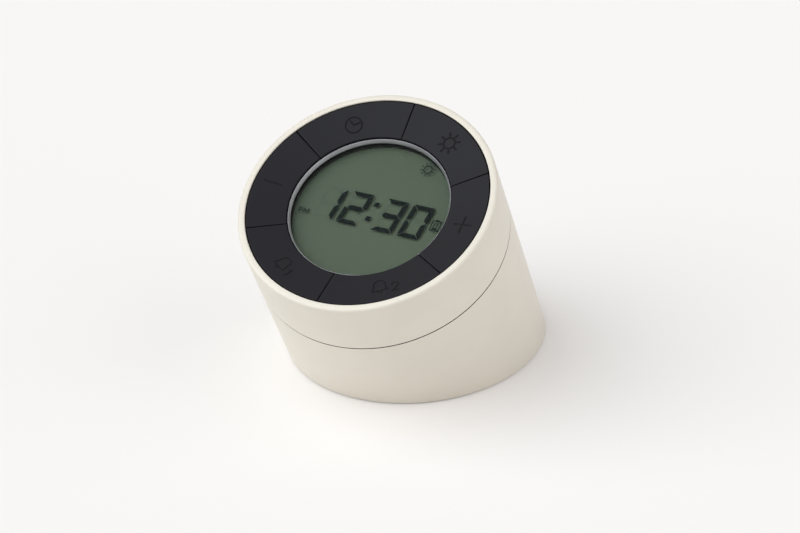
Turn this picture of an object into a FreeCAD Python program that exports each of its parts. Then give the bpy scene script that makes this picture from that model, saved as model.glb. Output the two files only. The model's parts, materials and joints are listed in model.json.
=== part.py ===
import FreeCAD, Part
import math
import os
import Sketcher

# Desk alarm clock: a cylinder that leans forward on an obliquely cut foot, with a round display
# and six sector keys on its end. Millimetres, +Z up, the face looks towards -Y and up.
# The origin is on the surface that the clock stands on, under the middle of the whole clock.
# "Axis foot" below is the point where the cylinder's axis meets that surface. The upright frame
# starts there and runs along the model's own axes. The leaning frame starts there too: Z runs up
# the cylinder's axis, Y points uphill across the face and X to the viewer's right.

doc = FreeCAD.newDocument("tilted_alarm_clock")

SIZES = {
    # Casing
    "body_radius": 40.0,
    "lean_angle": 29.0,
    "face_distance": 72.4,
    "rim_width": 2.3,
    "rim_round": 0.9,
    "casing_wall": 2.6,
    "shelf_width": 3.6,
    "seam_drop": 20.2,
    "seam_gap": 0.4,
    "floor_gap": 0.4,
    "spigot_height": 5.6,
    "spigot_root": 6.0,
    "spigot_wall": 2.0,
    "spigot_clearance": 0.12,
    "bead_rise": 1.6,
    "bead_height": 1.0,
    "bead_depth": 0.5,
    "bead_clearance": 0.1,
    # Keys
    "button_count": 6,
    "button_gap": 0.45,
    "button_recess": 0.3,
    "button_thickness": 1.3,
    "button_round": 0.25,
    "button_travel": 0.5,
    "rim_clearance": 0.35,
    "dish_drop": 2.35,
    "stem_share": 0.32,
    "flange_share": 0.41,
    "flange_height": 0.7,
    "pin_share": 0.154,
    "pin_spread": 15.0,
    "guide_clearance": 0.08,
    "guide_thickness": 1.0,
    "guide_drop": 3.9,
    "guide_edge_clearance": 0.2,
    # Display
    "display_radius": 24.6,
    "well_depth": 3.5,
    "bezel_wall": 0.5,
    "bezel_clearance": 0.3,
    "bezel_drop": 0.1,
    "window_thickness": 0.8,
    "window_lap": 1.9,
    "window_clearance": 0.2,
    "ledge_height": 0.6,
    "glass_thickness": 1.8,
    "glass_lap": 2.4,
    "light_thickness": 2.35,
    "frame_wall": 1.4,
    "contact_ledge": 1.1,
    "strip_inset": 3.6,
    "strip_width": 1.8,
    "strip_length": 26.0,
    "led_length": 3.0,
    "led_depth": 1.6,
    "led_height": 1.6,
    "led_inset": 0.6,
    # Circuit board and what it carries
    "board_thickness": 1.6,
    "board_clearance": 0.3,
    "boss_share": 0.295,
    "board_screw_share": 0.115,
    "board_head_share": 0.244,
    "board_head_height": 1.2,
    "board_screw_reach": 3.8,
    "board_hole_clearance": 0.15,
    "switch_share": 0.77,
    "switch_height": 3.5,
    "plunger_share": 0.218,
    "plunger_length": 2.1,
    "plunger_clearance": 0.1,
    "plunger_well": 2.0,
    "chip_width": 10.0,
    "chip_height": 1.5,
    "chip_offset": 9.0,
    "crystal_radius": 1.5,
    "crystal_length": 7.0,
    "crystal_offset": 17.0,
    "buzzer_radius": 6.0,
    "buzzer_height": 8.5,
    "buzzer_across": -17.0,
    "buzzer_up": -9.0,
    # Foot of the clock
    "plate_recess": 0.6,
    "plate_thickness": 2.0,
    "plate_clearance": 0.25,
    "foot_share": 0.43,
    "foot_inset_share": 0.7,
    "foot_socket": 0.4,
    "foot_front_angle": 150.0,
    "foot_back_angle": 36.0,
    "base_boss_share": 0.43,
    "base_boss_height": 10.0,
    "base_inset_share": 0.53,
    "base_screw_angle": 112.0,
    "base_screw_share": 0.17,
    "base_head_share": 0.31,
    "base_head_height": 1.0,
    "base_screw_reach": 6.0,
    "head_clearance": 0.2,
    # Battery compartment
    "cover_radius": 25.9,
    "cover_clearance": 0.3,
    "cover_ring": 2.4,
    "lug_count": 3,
    "lug_angle": 22.0,
    "lug_width": 2.1,
    "lug_height": 1.4,
    "lug_clearance": 0.1,
    "notch_spare": 1.0,
    "unlock_angle": 30.0,
    "slot_length": 16.0,
    "slot_width": 2.2,
    "slot_depth": 1.0,
    "cell_radius": 5.25,
    "cell_length": 44.5,
    "cell_spacing": 10.9,
    "cell_nub_radius": 1.9,
    "cell_nub_length": 1.0,
    "cell_clearance": 0.15,
    "tray_wall": 1.3,
    "tray_clearance": 0.3,
    "skirt_wall": 1.4,
    "skirt_clearance": 0.6,
    "contact_thickness": 0.4,
    "contact_dimple": 0.8,
    "dimple_radius": 2.2,
    "contact_width": 8.6,
    "contact_height": 8.0,
    "tab_width": 3.0,
    "tab_rise": 2.0,
    "tab_clearance": 0.2,
    # Leads between the cells and the board
    "lead_radius": 0.6,
    "lead_bend": 9.0,
}

# Sizes that follow from the ones above. The room for the key parts is what the display leaves
# beside the shelf, and the room for the foot's screws and pads is what the battery tray leaves
# beside the wall, so these small parts shrink or grow with their room.
DERIVED_SIZES = {
    "key_room": "body_radius - shelf_width - display_radius - glass_lap - window_clearance - frame_wall",
    "stem_circle": "body_radius - shelf_width - key_room / 2",
    "stem_radius": "stem_share * key_room",
    "flange_radius": "flange_share * key_room",
    "pin_radius": "pin_share * key_room",
    "boss_radius": "boss_share * key_room",
    "board_screw_radius": "board_screw_share * key_room",
    "board_screw_head": "board_head_share * key_room",
    "switch_width": "switch_share * key_room",
    "plunger_radius": "plunger_share * key_room",
    "foot_room": "body_radius - casing_wall - cover_radius - lug_width - skirt_clearance - skirt_wall",
    "foot_radius": "foot_share * foot_room",
    "foot_inset": "foot_inset_share * foot_room",
    "base_boss_radius": "base_boss_share * foot_room",
    "base_boss_inset": "base_inset_share * foot_room",
    "base_screw_radius": "base_screw_share * foot_room",
    "base_screw_head": "base_head_share * foot_room",
}

sheet = doc.addObject("Spreadsheet::Sheet", "sizes")
cells = {alias: str(number) for alias, number in SIZES.items()}
cells.update({alias: f"={formula}" for alias, formula in DERIVED_SIZES.items()})
for row, (alias, content) in enumerate(cells.items(), start=1):
    sheet.set(f"A{row}", alias)
    sheet.set(f"B{row}", content)
    sheet.setAlias(f"B{row}", alias)
doc.recompute()

KEY_NAMES = ["light", "plus", "alarm_2", "alarm_1", "minus", "clock"]
FIRST_KEY_ANGLE = 30.0
VIEW_UP_ANGLE = 90.0


def size(formula):
    """Number that a formula over the sheet's cells gives now."""
    return float(sheet.evalExpression(formula))


# How far the clock reaches in front of the axis foot and behind it, and so where that foot is
FRONT_REACH = (
    "((sizes.body_radius - sizes.rim_round) * cos(sizes.lean_angle)"
    " + (sizes.face_distance - sizes.rim_round) * sin(sizes.lean_angle) + sizes.rim_round)"
)
BACK_REACH = "(sizes.body_radius / cos(sizes.lean_angle) - sizes.floor_gap * tan(sizes.lean_angle))"
AXIS_FOOT_BACK = f"(({FRONT_REACH} - {BACK_REACH}) / 2)"


def moved(across="0", back="0", height="0", turn="0"):
    """Placement formula that moves by three formulas and turns about Z."""
    return f"placement(vector({across}; {back}; {height}); rotation(vector(0; 0; 1); {turn}))"


def tilted(axis, angle):
    """Placement formula that turns about one axis, given as three numbers in words."""
    return f"placement(vector(0; 0; 0); rotation(vector({axis}); {angle}))"


def upright(across="0", back="0", height="0", turn="0"):
    """Placement formula in the upright frame."""
    return f"{moved(back=AXIS_FOOT_BACK)} * {moved(across, back, height, turn)}"


def leaning(turn="0", across="0", up="0", along="0"):
    """Placement formula in the leaning frame: turned about the axis, then moved."""
    lean = tilted("1; 0; 0", "sizes.lean_angle")
    return f"{moved(back=AXIS_FOOT_BACK)} * {lean} * {moved(turn=turn)} * {moved(across, up, along)}"


# Radii and levels along the axis, as formulas over the sheet
RIM_INSIDE = "(sizes.body_radius - sizes.rim_width)"
WALL_INSIDE = "(sizes.body_radius - sizes.casing_wall)"
SHELF_INSIDE = "(sizes.body_radius - sizes.shelf_width)"
SEAM_TOP = "(sizes.face_distance - sizes.seam_drop + sizes.seam_gap / 2)"
SEAM_BOTTOM = "(sizes.face_distance - sizes.seam_drop - sizes.seam_gap / 2)"
SPIGOT_OUTSIDE = f"({WALL_INSIDE} - sizes.spigot_clearance)"
SPIGOT_INSIDE = f"({SPIGOT_OUTSIDE} - sizes.spigot_wall)"
BEAD_BOTTOM = f"({SEAM_TOP} + sizes.bead_rise)"
BEAD_TOP = f"({BEAD_BOTTOM} + sizes.bead_height)"

BUTTON_OUTSIDE = f"({RIM_INSIDE} - sizes.rim_clearance)"
BEZEL_OUTSIDE = "(sizes.display_radius + sizes.bezel_wall)"
BUTTON_INSIDE = f"({BEZEL_OUTSIDE} + sizes.bezel_clearance)"
BUTTON_TOP = "(sizes.face_distance - sizes.button_recess)"
BUTTON_EDGE = f"({BUTTON_TOP} - sizes.dish_drop)"
GUIDE_TOP = f"({BUTTON_TOP} - sizes.guide_drop)"
GUIDE_BOTTOM = f"({GUIDE_TOP} - sizes.guide_thickness)"
FLANGE_TOP = f"({GUIDE_BOTTOM} - sizes.guide_clearance)"
STEM_BOTTOM = f"({FLANGE_TOP} - sizes.flange_height)"

GLASS_TOP = f"({BUTTON_EDGE} - sizes.well_depth)"
WINDOW_BOTTOM = f"({GLASS_TOP} + sizes.ledge_height)"
WINDOW_TOP = f"({WINDOW_BOTTOM} + sizes.window_thickness)"
WINDOW_RADIUS = "(sizes.display_radius + sizes.window_lap)"
GLASS_BOTTOM = f"({GLASS_TOP} - sizes.glass_thickness)"
GLASS_RADIUS = "(sizes.display_radius + sizes.glass_lap)"
BOARD_TOP = f"({GLASS_BOTTOM} - sizes.light_thickness)"
BOARD_BOTTOM = f"({BOARD_TOP} - sizes.board_thickness)"
FRAME_INSIDE = f"({GLASS_RADIUS} + sizes.window_clearance)"
FRAME_OUTSIDE = f"({FRAME_INSIDE} + sizes.frame_wall)"
BOARD_RADIUS = f"({WALL_INSIDE} - sizes.board_clearance)"
SWITCH_TOP = f"({BOARD_TOP} + sizes.switch_height)"

# Levels above the surface that the clock stands on, as formulas over the sheet
PLATE_BOTTOM = "(sizes.floor_gap + sizes.plate_recess)"
PLATE_TOP = f"({PLATE_BOTTOM} + sizes.plate_thickness)"
PLATE_RADIUS = f"({WALL_INSIDE} - sizes.plate_clearance)"
COVER_OPENING = "(sizes.cover_radius + sizes.cover_clearance)"
LUG_RADIUS = "(sizes.cover_radius + sizes.lug_width)"
LUG_BOTTOM = f"({PLATE_TOP} + sizes.lug_clearance)"
LUG_TOP = f"({LUG_BOTTOM} + sizes.lug_height)"
TRAY_BOTTOM = f"({LUG_TOP} + sizes.tray_clearance)"
CELL_HEIGHT = f"({TRAY_BOTTOM} + sizes.cell_clearance + sizes.cell_radius)"
TRAY_ROOF = f"({CELL_HEIGHT} + sizes.cell_radius + sizes.cell_clearance)"
TRAY_TOP = f"({TRAY_ROOF} + sizes.tray_wall)"
TRAY_LENGTH = "(sizes.cell_length + 2 * sizes.contact_thickness + 2 * sizes.contact_dimple)"
TRAY_WIDTH = "(sizes.cell_spacing + 2 * sizes.cell_radius + 2 * sizes.cell_clearance)"
SKIRT_INSIDE = f"({LUG_RADIUS} + sizes.skirt_clearance)"
SKIRT_OUTSIDE = f"({SKIRT_INSIDE} + sizes.skirt_wall)"
FOOT_TOP = f"({PLATE_BOTTOM} + sizes.foot_socket)"


def bind(item, **formulas):
    """Tie an object's properties to formulas; two underscores stand for a dot."""
    for name, formula in formulas.items():
        item.setExpression(name.replace("__", "."), formula)
    return item


def cylinder(name, radius, height, place, angle=None):
    """Part cylinder with its size and place bound."""
    item = doc.addObject("Part::Cylinder", name)
    bind(item, Radius=radius, Height=height, Placement=place)
    if angle:
        bind(item, Angle=angle)
    return item


def box(name, length, width, height, place):
    """Part box with its size and place bound."""
    item = doc.addObject("Part::Box", name)
    return bind(item, Length=length, Width=width, Height=height, Placement=place)


def fuse(name, pieces):
    """Union of several objects."""
    item = doc.addObject("Part::MultiFuse", name)
    item.Shapes = pieces
    return item


def cut(name, base, tool):
    """One object less another."""
    item = doc.addObject("Part::Cut", name)
    item.Base = base
    item.Tool = tool
    return item


def common(name, first, second):
    """What two objects share."""
    item = doc.addObject("Part::Common", name)
    item.Base = first
    item.Tool = second
    return item


def group(name, pieces):
    """Several separate solids as one sub-part."""
    item = doc.addObject("Part::Compound", name)
    item.Links = pieces
    return item


def new_sketch(body, name, role, level="0"):
    """Empty sketch on one of the body's own origin planes, lifted to a level."""
    sketch = body.newObject("Sketcher::SketchObject", name)
    plane = [item for item in body.Origin.OriginFeatures if item.Role == role][0]
    sketch.AttachmentSupport = (plane, [""])
    sketch.MapMode = "FlatFace"
    if level != "0":
        sketch.setExpression("AttachmentOffset.Base.z", level)
    return sketch


def pin_point(sketch, curve, end, across, up):
    """Hold one point of a sketch at two formulas, measured from the sketch's origin."""
    for kind, formula, axis in (("DistanceX", across, -2), ("DistanceY", up, -1)):
        if formula == "0":
            sketch.addConstraint(Sketcher.Constraint("PointOnObject", curve, end, axis))
            continue
        rule = Sketcher.Constraint(kind, -1, 1, curve, end, size(formula))
        number = sketch.addConstraint(rule)
        sketch.setExpression(f"Constraints[{number}]", formula)


def outline(body, name, role, points, level="0"):
    """Closed outline of straight edges through points given as pairs of formulas."""
    sketch = new_sketch(body, name, role, level)
    corners = [FreeCAD.Vector(size(across), size(up), 0) for across, up in points]
    for start, end in zip(corners, corners[1:] + corners[:1]):
        sketch.addGeometry(Part.LineSegment(start, end), False)
    for edge in range(len(points)):
        following = (edge + 1) % len(points)
        sketch.addConstraint(Sketcher.Constraint("Coincident", edge, 2, following, 1))
    for edge, (across, up) in enumerate(points):
        pin_point(sketch, edge, 1, across, up)
    return sketch


def circles(body, name, discs, level="0"):
    """Sketch of circles, each given as formulas for its centre and radius."""
    sketch = new_sketch(body, name, "XY_Plane", level)
    for number, (across, up, radius) in enumerate(discs):
        centre = FreeCAD.Vector(size(across), size(up), 0)
        sketch.addGeometry(Part.Circle(centre, FreeCAD.Vector(0, 0, 1), size(radius)), False)
        rule = sketch.addConstraint(Sketcher.Constraint("Radius", number, size(radius)))
        sketch.setExpression(f"Constraints[{rule}]", radius)
        pin_point(sketch, number, 3, across, up)
    return sketch


def new_body(name, place):
    """PartDesign body with its place bound."""
    body = doc.addObject("PartDesign::Body", name)
    body.setExpression("Placement", place)
    return body


def revolve(body, points, angle="360"):
    """Solid of revolution about the body's Z axis, centred on its XZ plane."""
    sketch = outline(body, f"{body.Name}_profile", "XZ_Plane", points)
    feature = body.newObject("PartDesign::Revolution", f"{body.Name}_turned")
    feature.Profile = sketch
    feature.ReferenceAxis = (sketch, ["V_Axis"])
    feature.Midplane = True
    feature.setExpression("Angle", angle)
    sketch.Visibility = False
    return feature


def pad(body, sketch, height):
    """Material added upwards from a sketch."""
    feature = body.newObject("PartDesign::Pad", f"{sketch.Name}_pad")
    feature.Profile = sketch
    feature.setExpression("Length", height)
    return feature


def pocket(body, sketch, depth):
    """Material removed downwards from a sketch, with proof that something was cut."""
    doc.recompute()
    before = body.Shape.Volume
    feature = body.newObject("PartDesign::Pocket", f"{sketch.Name}_pocket")
    feature.Profile = sketch
    feature.setExpression("Length", depth)
    doc.recompute()
    if body.Shape.Volume >= before:
        raise ValueError(f"{feature.Name} cut nothing")
    return feature


def around(body, features, count):
    """Repeat features evenly about the body's Z axis."""
    pattern = body.newObject("PartDesign::PolarPattern", f"{features[0].Name}_pattern")
    pattern.Originals = features
    axis = [item for item in body.Origin.OriginFeatures if item.Role == "Z_Axis"][0]
    pattern.Axis = (axis, [""])
    pattern.Angle = 360
    pattern.setExpression("Occurrences", count)
    body.Tip = pattern
    return pattern


def round_edges(body, chosen, radius):
    """Fillet the edges of the body's last feature that a test picks."""
    doc.recompute()
    last = body.Tip
    names = [f"Edge{number}" for number, edge in enumerate(last.Shape.Edges, start=1) if chosen(edge)]
    feature = body.newObject("PartDesign::Fillet", f"{body.Name}_rounding")
    feature.Base = (last, names)
    feature.setExpression("Radius", radius)
    return feature


def on_circle(edge, radius, level):
    """True for a full round edge of one radius at one level."""
    curve = edge.Curve
    if not isinstance(curve, Part.Circle):
        return False
    return abs(curve.Radius - radius) < 0.001 and abs(curve.Center.z - level) < 0.001


def make_upper_casing():
    """Head of the shell: rim, seat for the key guide, shelf for the board and bead groove."""
    body = new_body("upper_casing", leaning())
    groove = f"({WALL_INSIDE} + sizes.bead_depth - sizes.spigot_clearance + sizes.bead_clearance)"
    revolve(body, [
        ("sizes.body_radius", SEAM_TOP),
        ("sizes.body_radius", "sizes.face_distance"),
        (RIM_INSIDE, "sizes.face_distance"),
        (RIM_INSIDE, GUIDE_BOTTOM),
        (SHELF_INSIDE, GUIDE_BOTTOM),
        (SHELF_INSIDE, BOARD_TOP),
        (WALL_INSIDE, BOARD_TOP),
        (WALL_INSIDE, f"({BEAD_TOP} + sizes.bead_clearance)"),
        (groove, f"({BEAD_TOP} + sizes.bead_clearance)"),
        (groove, f"({BEAD_BOTTOM} - sizes.bead_clearance)"),
        (WALL_INSIDE, f"({BEAD_BOTTOM} - sizes.bead_clearance)"),
        (WALL_INSIDE, SEAM_TOP),
    ])
    rim = size("sizes.body_radius")
    top = size("sizes.face_distance")
    round_edges(body, lambda edge: on_circle(edge, rim, top), "sizes.rim_round")
    return body


def make_casing_tube():
    """Leaning tube of the lower casing, with the spigot and bead that the head snaps over."""
    body = new_body("casing_tube", leaning())
    below_floor = "(-2 * sizes.body_radius * tan(sizes.lean_angle))"
    bead = f"({SPIGOT_OUTSIDE} + sizes.bead_depth)"
    revolve(body, [
        ("sizes.body_radius", below_floor),
        ("sizes.body_radius", SEAM_BOTTOM),
        (SPIGOT_OUTSIDE, SEAM_BOTTOM),
        (SPIGOT_OUTSIDE, BEAD_BOTTOM),
        (bead, BEAD_BOTTOM),
        (bead, BEAD_TOP),
        (SPIGOT_OUTSIDE, BEAD_TOP),
        (SPIGOT_OUTSIDE, f"({SEAM_BOTTOM} + sizes.spigot_height)"),
        (SPIGOT_INSIDE, f"({SEAM_BOTTOM} + sizes.spigot_height)"),
        (SPIGOT_INSIDE, f"({SEAM_BOTTOM} - sizes.spigot_root)"),
        (WALL_INSIDE, f"({SEAM_BOTTOM} - sizes.spigot_root)"),
        (WALL_INSIDE, below_floor),
    ])
    return body


def base_edge(angle, inset="0"):
    """Point inside the wall's oval outline at the foot, for an angle counted from the back."""
    reach = f"({WALL_INSIDE} - {inset})"
    return f"({reach} * sin({angle}))", f"({reach} * cos({angle}) / cos(sizes.lean_angle))"


BASE_SCREW_ANGLES = ["0", "sizes.base_screw_angle", "(-sizes.base_screw_angle)"]
FOOT_ANGLES = {
    "front_right": "sizes.foot_front_angle",
    "front_left": "(-sizes.foot_front_angle)",
    "back_right": "sizes.foot_back_angle",
    "back_left": "(-sizes.foot_back_angle)",
}


def base_screw_places():
    """Upright places of the three base screws, as pairs of formulas."""
    return [base_edge(angle, "sizes.base_boss_inset") for angle in BASE_SCREW_ANGLES]


def make_lower_casing():
    """Lower shell: the tube, its three screw bosses, and the oblique cut that it stands on."""
    reach = "(2 * sizes.base_boss_radius)"
    bosses = []
    for number, ((across, back), angle) in enumerate(zip(base_screw_places(), BASE_SCREW_ANGLES)):
        place = upright(across, back, PLATE_TOP)
        bosses.append(cylinder(f"boss_{number}", "sizes.base_boss_radius", "sizes.base_boss_height", place))
        lean_rib = f"(90 - {angle})"
        rib_start = moved(back="(-sizes.base_boss_radius / 2)")
        rib_place = f"{upright(across, back, PLATE_TOP, lean_rib)} * {rib_start}"
        rib_size = (reach, "sizes.base_boss_radius", "sizes.base_boss_height")
        bosses.append(box(f"rib_{number}", *rib_size, rib_place))
    trim_height = "(2 * sizes.face_distance)"
    middle_wall = "(sizes.body_radius - sizes.casing_wall / 2)"
    trim = cylinder("boss_trim", middle_wall, trim_height, leaning(along="(-sizes.face_distance)"))
    bosses_inside = common("bosses", fuse("boss_blanks", bosses), trim)
    joined = fuse("casing_with_bosses", [make_casing_tube(), bosses_inside])
    tools = []
    for number, (across, back) in enumerate(base_screw_places()):
        place = upright(across, back, PLATE_TOP)
        hole_size = ("sizes.base_screw_radius", "sizes.base_screw_reach")
        tools.append(cylinder(f"boss_hole_{number}", *hole_size, place))
    span = "(6 * sizes.body_radius)"
    corner = "(-3 * sizes.body_radius)"
    floor_place = upright(corner, corner, f"(sizes.floor_gap - {span})")
    tools.append(box("floor_cut", span, span, span, floor_place))
    return cut("lower_casing", joined, fuse("casing_cuts", tools))


def make_base_plate():
    """Oval plate that closes the foot, with the battery opening, foot sockets and screw holes."""
    tall = "(4 * sizes.body_radius)"
    leaning_blank = cylinder("plate_blank", PLATE_RADIUS, tall, leaning(along="(-2 * sizes.body_radius)"))
    corner = "(-2 * sizes.body_radius)"
    slab = box("plate_slab", tall, tall, "sizes.plate_thickness", upright(corner, corner, PLATE_BOTTOM))
    tools = [cylinder("plate_opening", COVER_OPENING, "sizes.plate_thickness", upright(height=PLATE_BOTTOM))]
    for number in range(int(size("sizes.lug_count"))):
        start = f"({number} * 360 / sizes.lug_count + sizes.unlock_angle - sizes.notch_spare)"
        place = upright(height=PLATE_BOTTOM, turn=start)
        width = f"({LUG_RADIUS} + sizes.cover_clearance)"
        notch_angle = "(sizes.lug_angle + 2 * sizes.notch_spare)"
        tools.append(cylinder(f"notch_{number}", width, "sizes.plate_thickness", place, notch_angle))
    for name, angle in FOOT_ANGLES.items():
        across, back = foot_place(angle)
        place = upright(across, back, PLATE_BOTTOM)
        tools.append(cylinder(f"socket_{name}", "sizes.foot_radius", "sizes.foot_socket", place))
    for number, (across, back) in enumerate(base_screw_places()):
        place = upright(across, back, PLATE_BOTTOM)
        shank = "(sizes.base_screw_radius + sizes.head_clearance)"
        head = "(sizes.base_screw_head + sizes.head_clearance)"
        sink = "(sizes.base_head_height + sizes.lug_clearance)"
        tools.append(cylinder(f"plate_hole_{number}", shank, "sizes.plate_thickness", place))
        tools.append(cylinder(f"plate_sink_{number}", head, sink, place))
    return cut("base_plate", common("plate_oval", leaning_blank, slab), fuse("plate_cuts", tools))


def foot_place(angle):
    """Upright place of one foot pad, on an oval that follows the casing."""
    return base_edge(angle, "sizes.foot_inset")


def make_feet():
    """Four rubber pads, pressed into sockets of the base plate."""
    feet = []
    for name, angle in FOOT_ANGLES.items():
        across, back = foot_place(angle)
        feet.append(cylinder(f"foot_{name}", "sizes.foot_radius", FOOT_TOP, upright(across, back)))
    return feet


def make_base_screws():
    """Three screws that hold the base plate to the bosses of the lower casing."""
    screws = []
    for number, (across, back) in enumerate(base_screw_places()):
        seat = f"({PLATE_BOTTOM} + sizes.lug_clearance + sizes.base_head_height)"
        head_place = upright(across, back, f"({PLATE_BOTTOM} + sizes.lug_clearance)")
        head = cylinder(f"screw_head_{number}", "sizes.base_screw_head", "sizes.base_head_height", head_place)
        reach = f"({PLATE_TOP} + sizes.base_screw_reach - {seat})"
        shank_place = upright(across, back, seat)
        shank = cylinder(f"screw_shank_{number}", "sizes.base_screw_radius", reach, shank_place)
        screws.append(fuse(f"base_screw_{number}", [head, shank]))
    return group("base_screws", screws)


def make_battery_cover():
    """Round cover that turns to free its three lugs from the base plate; a coin turns it."""
    disc = cylinder("cover_disc", "sizes.cover_radius", "sizes.plate_thickness", upright(height=PLATE_BOTTOM))
    lug_depth = f"({LUG_TOP} - {PLATE_TOP})"
    parts = [disc, cylinder("cover_collar", "sizes.cover_radius", lug_depth, upright(height=PLATE_TOP))]
    for number in range(int(size("sizes.lug_count"))):
        place = upright(height=LUG_BOTTOM, turn=f"({number} * 360 / sizes.lug_count)")
        parts.append(cylinder(f"lug_{number}", LUG_RADIUS, "sizes.lug_height", place, "sizes.lug_angle"))
    inside = "(sizes.cover_radius - sizes.cover_ring)"
    hollow = cylinder("cover_hollow", inside, "sizes.cell_radius", upright(height=PLATE_TOP))
    corner = upright("(-sizes.slot_length / 2)", "(-sizes.slot_width / 2)", PLATE_BOTTOM)
    slot = box("coin_slot", "sizes.slot_length", "sizes.slot_width", "sizes.slot_depth", corner)
    return cut("battery_cover", fuse("cover_blank", parts), fuse("cover_cuts", [hollow, slot]))


def make_battery_tray():
    """Open-bottomed tray for two cells, standing on the base plate around the cover's lugs."""
    flange_top = f"({TRAY_BOTTOM} + sizes.tray_wall)"
    skirt = cylinder("tray_skirt", SKIRT_OUTSIDE, f"({flange_top} - {PLATE_TOP})", upright(height=PLATE_TOP))
    outer_length = f"({TRAY_LENGTH} + 2 * sizes.tray_wall)"
    outer_width = f"({TRAY_WIDTH} + 2 * sizes.tray_wall)"
    outer_place = upright(f"(-{outer_length} / 2)", f"(-{outer_width} / 2)", TRAY_BOTTOM)
    shell = box("tray_shell", outer_length, outer_width, f"({TRAY_TOP} - {TRAY_BOTTOM})", outer_place)
    under = cylinder("tray_under", SKIRT_INSIDE, f"({TRAY_BOTTOM} - {PLATE_TOP})", upright(height=PLATE_TOP))
    inner_place = upright(f"(-{TRAY_LENGTH} / 2)", f"(-{TRAY_WIDTH} / 2)", TRAY_BOTTOM)
    room = box("tray_room", TRAY_LENGTH, TRAY_WIDTH, f"({TRAY_ROOF} - {TRAY_BOTTOM})", inner_place)
    tools = [under, room]
    for side, sign in (("plus", "1"), ("minus", "(-1)")):
        clearance = "sizes.tab_clearance"
        width = f"(sizes.tab_width + 2 * {clearance})"
        thick = f"(sizes.contact_thickness + {clearance})"
        back = f"({sign} * sizes.cell_spacing / 2 - {width} / 2)"
        place = upright(f"({TRAY_LENGTH} / 2 - {thick})", back, TRAY_ROOF)
        tools.append(box(f"tab_slot_{side}", thick, width, "(2 * sizes.tray_wall)", place))
    return cut("battery_tray", fuse("tray_blank", [skirt, shell]), fuse("tray_cuts", tools))


def make_cell(name, row, plus_side):
    """One dry cell lying across the tray: row is -1 or 1 for front or back."""
    middle = upright("0", f"({row} * sizes.cell_spacing / 2)", CELL_HEIGHT)
    body = new_body(name, f"{middle} * {tilted('0; 1; 0', 90 * plus_side)}")
    low = "(-sizes.cell_length / 2)"
    shoulder = "(sizes.cell_length / 2 - sizes.cell_nub_length)"
    revolve(body, [
        ("0", low),
        ("sizes.cell_radius", low),
        ("sizes.cell_radius", shoulder),
        ("sizes.cell_nub_radius", shoulder),
        ("sizes.cell_nub_radius", "(sizes.cell_length / 2)"),
        ("0", "(sizes.cell_length / 2)"),
    ])
    return body


def contact_pieces(name, side, row):
    """Plate and dimple of a contact at one end of one cell: side and row are -1 or 1."""
    plate_face = f"({TRAY_LENGTH} / 2)" if side > 0 else f"(-{TRAY_LENGTH} / 2 + sizes.contact_thickness)"
    front = f"({plate_face} - sizes.contact_thickness)"
    low = f"({CELL_HEIGHT} - sizes.contact_height / 2)"
    place = upright(front, f"({row} * sizes.cell_spacing / 2 - sizes.contact_width / 2)", low)
    plate_size = ("sizes.contact_thickness", "sizes.contact_width", "sizes.contact_height")
    plate = box(f"{name}_plate", *plate_size, place)
    dimple_start = f"({front} - sizes.contact_dimple)" if side > 0 else plate_face
    dimple_middle = upright(dimple_start, f"({row} * sizes.cell_spacing / 2)", CELL_HEIGHT)
    dimple_place = f"{dimple_middle} * {tilted('0; 1; 0', 90)}"
    dimple = cylinder(f"{name}_dimple", "sizes.dimple_radius", "sizes.contact_dimple", dimple_place)
    return [plate, dimple]


def make_terminal(name, row):
    """Contact at the lead end of one cell, with a solder tab through the tray's roof."""
    pieces = contact_pieces(name, 1, row)
    low = f"({CELL_HEIGHT} + sizes.contact_height / 2)"
    rise = f"({TRAY_TOP} + sizes.tab_rise - {low})"
    start = f"({TRAY_LENGTH} / 2 - sizes.contact_thickness)"
    place = upright(start, f"({row} * sizes.cell_spacing / 2 - sizes.tab_width / 2)", low)
    pieces.append(box(f"{name}_tab", "sizes.contact_thickness", "sizes.tab_width", rise, place))
    return fuse(name, pieces)


def make_link_plate():
    """Contact that joins the two cells at their far ends."""
    pieces = contact_pieces("link_front", -1, -1) + contact_pieces("link_back", -1, 1)
    low = f"({CELL_HEIGHT} - sizes.contact_height / 2)"
    place = upright(f"(-{TRAY_LENGTH} / 2)", "(-sizes.cell_spacing / 2)", low)
    bridge_size = ("sizes.contact_thickness", "sizes.cell_spacing", "sizes.contact_height")
    pieces.append(box("link_bridge", *bridge_size, place))
    return fuse("battery_link_plate", pieces)


def make_main_board():
    """Round circuit board under the display, held against the shelf of the upper casing."""
    body = new_body("main_board", leaning())
    disc = circles(body, "board_outline", [("0", "0", BOARD_RADIUS)], BOARD_BOTTOM)
    pad(body, disc, "sizes.board_thickness")
    hole = "(sizes.board_screw_radius + sizes.board_hole_clearance)"
    holes = circles(body, "board_hole", [("0", "sizes.stem_circle", hole)], BOARD_TOP)
    around(body, [pocket(body, holes, "sizes.board_thickness")], "sizes.button_count")
    return body


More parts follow.
